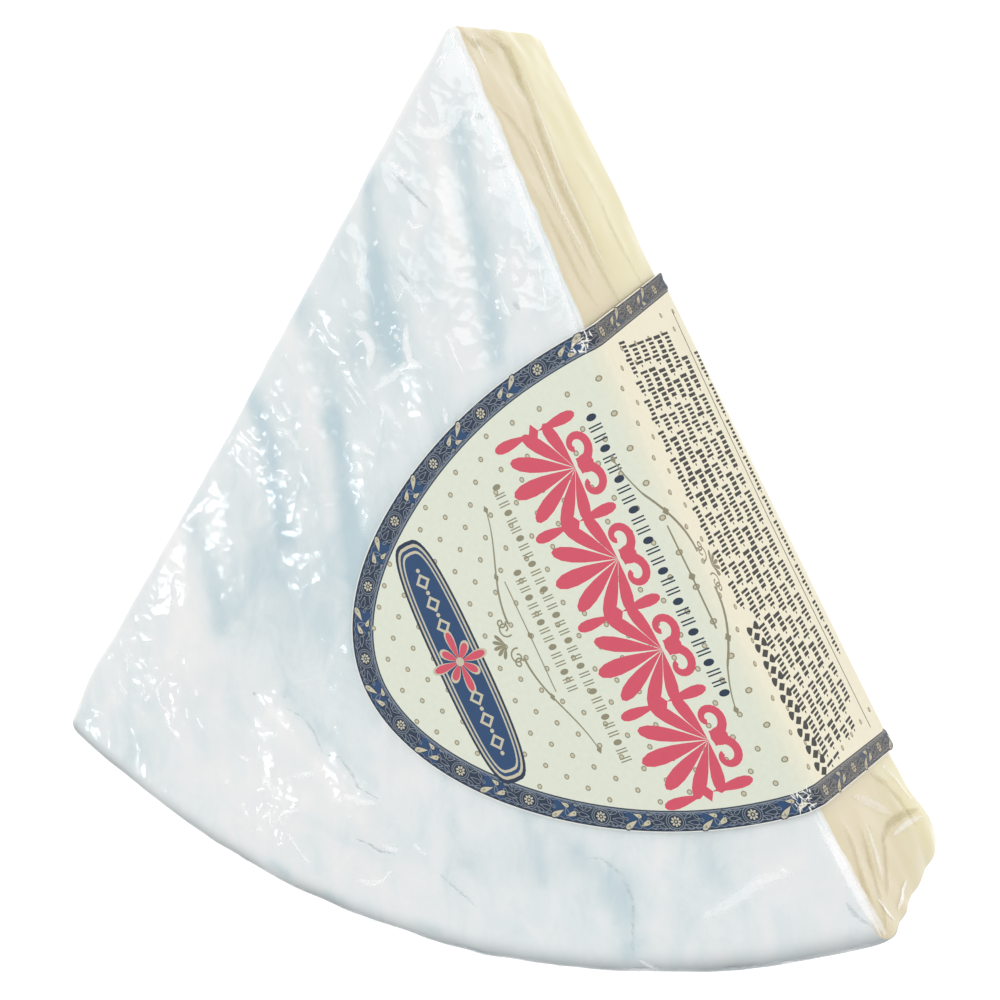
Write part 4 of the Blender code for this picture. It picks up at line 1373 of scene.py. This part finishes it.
def fold(flat, lift):
    """Flat places of the label folded over the cut edge, at a lift over the wedge."""
    along, depth = flat[:, 0], flat[:, 1]
    plan_line = along[:, None] * CUT_ALONG
    round_turn = np.arccos(np.clip(depth / CUT_EDGE_ROUND / math.sqrt(2), -1, 1)) - math.pi / 4
    turn = np.clip(round_turn, 0, math.pi / 2)
    wall_length = LABEL_MIDDLE_HEIGHT - FOOT_ROUND - CUT_EDGE_ROUND
    down = np.clip((-depth - CUT_EDGE_ROUND) / wall_length, 0, 1)
    tucked = np.clip((2 - (depth + LABEL_MIDDLE_HEIGHT) / FOOT_ROUND) / math.sqrt(2), -1, 1)
    tuck = np.clip(math.pi / 4 - np.arccos(tucked), 0, LABEL_TUCK)

    over = depth >= CUT_EDGE_ROUND
    inward = np.where(over, depth, CUT_EDGE_ROUND * (1 - np.sin(turn)) + FOOT_ROUND * (1 - np.cos(tuck)))
    above = np.where(over, 0, CUT_EDGE_ROUND * (np.cos(turn) - 1) * (1 - down) + FOOT_ROUND * down)
    above = above - FOOT_ROUND * np.sin(tuck)
    facing_in = np.where(over, 0, -np.sin(turn) * np.cos(tuck))
    facing_up = np.where(over, 1, np.cos(turn) - np.sin(tuck))
    plan = plan_line - CUT_OUTWARD * inward[:, None]
    height = top_height(plan) * (1 - down) + above + facing_up * lift
    plan = plan - CUT_OUTWARD * (facing_in * lift)[:, None]
    return np.column_stack((give_way(plan, height), height))


def flat_sheet():
    """The label laid flat in small faces that follow the print: its points, its faces and each face's ink."""
    corners, faces, inks = [], [], []
    for ink, shape in label_shapes():
        shape = np.asarray(shape)
        area = np.sum(shape[:, 0] * np.roll(shape[:, 1], -1) - np.roll(shape[:, 0], -1) * shape[:, 1])
        if area < 0:
            shape = shape[::-1]
        faces.append(list(range(len(corners), len(corners) + len(shape))))
        corners.extend(shape.tolist())
        inks.append(ink)
    edges = []
    for turn in np.linspace(0, math.pi / 2, BEND_LINES):
        depth = CUT_EDGE_ROUND * (math.cos(turn) - math.sin(turn))
        left, right = label_sides(depth)
        edges.extend((len(corners) + step, len(corners) + step + 1) for step in range(BEND_LINE_POINTS - 1))
        corners.extend((along, depth) for along in np.linspace(left - MM, right + MM, BEND_LINE_POINTS))
    for depth in np.arange(LABEL_FOOT + MM, LABEL_REACH, SHEET_STEP):
        if abs(depth) > SHEET_STEP:
            left, right = label_sides(depth)
            corners.extend((along, depth) for along in np.arange(left + 1.5 * MM, right - MM, SHEET_STEP))
    scale = 1 / MM
    made = delaunay_2d_cdt([Vector(c) * scale for c in corners], edges, faces, 1, SAME_PLACE)
    flat = np.array([tuple(v) for v in made[0]]) / scale
    kept = [(face, inks[max(covering)]) for face, covering in zip(made[2], made[5]) if 0 in covering]
    used = sorted({corner for face, _ in kept for corner in face})
    place_of = {corner: place for place, corner in enumerate(used)}
    return flat[used], [[place_of[corner] for corner in face] for face, _ in kept], [ink for _, ink in kept]


def make_label():
    """The label as one sheet whose faces follow the print, folded and given its thickness."""
    flat, faces, inks = flat_sheet()
    sheet = bpy.data.meshes.new("label_sheet")
    places = fold(flat, LABEL_GAP + LABEL_THICKNESS) + POINT
    sheet.from_pydata(places.tolist(), [], faces)
    for polygon, ink in zip(sheet.polygons, inks):
        polygon.material_index = ink
    layer = sheet.uv_layers.new(name="flat")
    corner_points = np.array([loop.vertex_index for loop in sheet.loops])
    layer.data.foreach_set("uv", flat[corner_points].astype(np.float32).ravel())
    for ink in INKS:
        sheet.materials.append(ink_material(*ink))
    label = bpy.data.objects.new("paper_label", sheet)
    take_up(label)
    thickness = label.modifiers.new("thickness", "SOLIDIFY")
    thickness.thickness = LABEL_THICKNESS
    thickness.offset = -1
    bpy.ops.object.modifier_apply(modifier=thickness.name)
    bpy.ops.object.shade_smooth_by_angle(angle=CRISP_EDGE)
    return label


# Room: floor, light and camera


def make_room():
    """A plain white floor under a bright even sky."""
    bpy.ops.mesh.primitive_plane_add(size=FLOOR_SIZE, location=(0, 0, 0))
    floor = bpy.context.object
    floor.name = "floor"
    material, tree, output = new_material("white_table")
    base = add_node(
        tree, "BsdfPrincipled",
        Base_Color=(0.25, 0.25, 0.25, 1), Roughness=0.9, Emission_Color=WHITE, Emission_Strength=FLOOR_GLOW,
    )
    tree.links.new(base.outputs[0], output.inputs["Surface"])
    floor.data.materials.append(material)

    world = bpy.data.worlds.new("even_sky")
    world.use_nodes = True
    sky = world.node_tree.nodes["Background"]
    sky.inputs["Color"].default_value = WHITE
    sky.inputs["Strength"].default_value = SKY_STRENGTH
    bpy.context.scene.world = world
    bpy.context.scene.view_settings.view_transform = "Standard"


def lamp(name, azimuth, elevation, distance, width, height, power):
    """A flat lamp aimed at the wedge from a direction: azimuth is from +X towards +Y."""
    turn, rise_angle = math.radians(azimuth), math.radians(elevation)
    level = math.cos(rise_angle)
    direction = Vector((math.cos(turn) * level, math.sin(turn) * level, math.sin(rise_angle)))
    light = bpy.data.lights.new(name, "AREA")
    light.shape = "RECTANGLE"
    light.size = width
    light.size_y = height
    light.energy = power
    body = bpy.data.objects.new(name, light)
    body.location = direction * distance
    body.rotation_mode = "QUATERNION"
    body.rotation_quaternion = direction.to_track_quat("Z", "Y")
    bpy.context.collection.objects.link(body)


def make_camera():
    """The camera, where the photograph's view puts it."""
    forward, up = Vector(CAMERA_FORWARD).normalized(), Vector(CAMERA_UP).normalized()
    right = forward.cross(up)
    turn = Matrix((right, up, -forward)).transposed()
    data = bpy.data.cameras.new("camera")
    data.lens = LENS
    data.sensor_width = SENSOR
    data.clip_start = 0.01
    data.clip_end = 20
    camera = bpy.data.objects.new("camera", data)
    camera.matrix_world = Matrix.Translation(Vector(CAMERA_PLACE) + Vector(POINT)) @ turn.to_4x4()
    bpy.context.collection.objects.link(camera)
    bpy.context.scene.camera = camera


make_camera()
make_room()
for lamp_name, settings in LAMPS.items():
    lamp(lamp_name, *settings)
cheese = make_cheese()
film = make_film()
creases = make_creases(film)
label = make_label()
for piece, node, slot in (
    (cheese, "wrapped_wedge", "cheese_in_film"),
    (film, "wrapped_wedge", "clear_film"),
    (creases, "wrapped_wedge", "clear_film"),
    (label, "label", "label_paper"),
):
    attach(piece, "root")
    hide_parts(node)
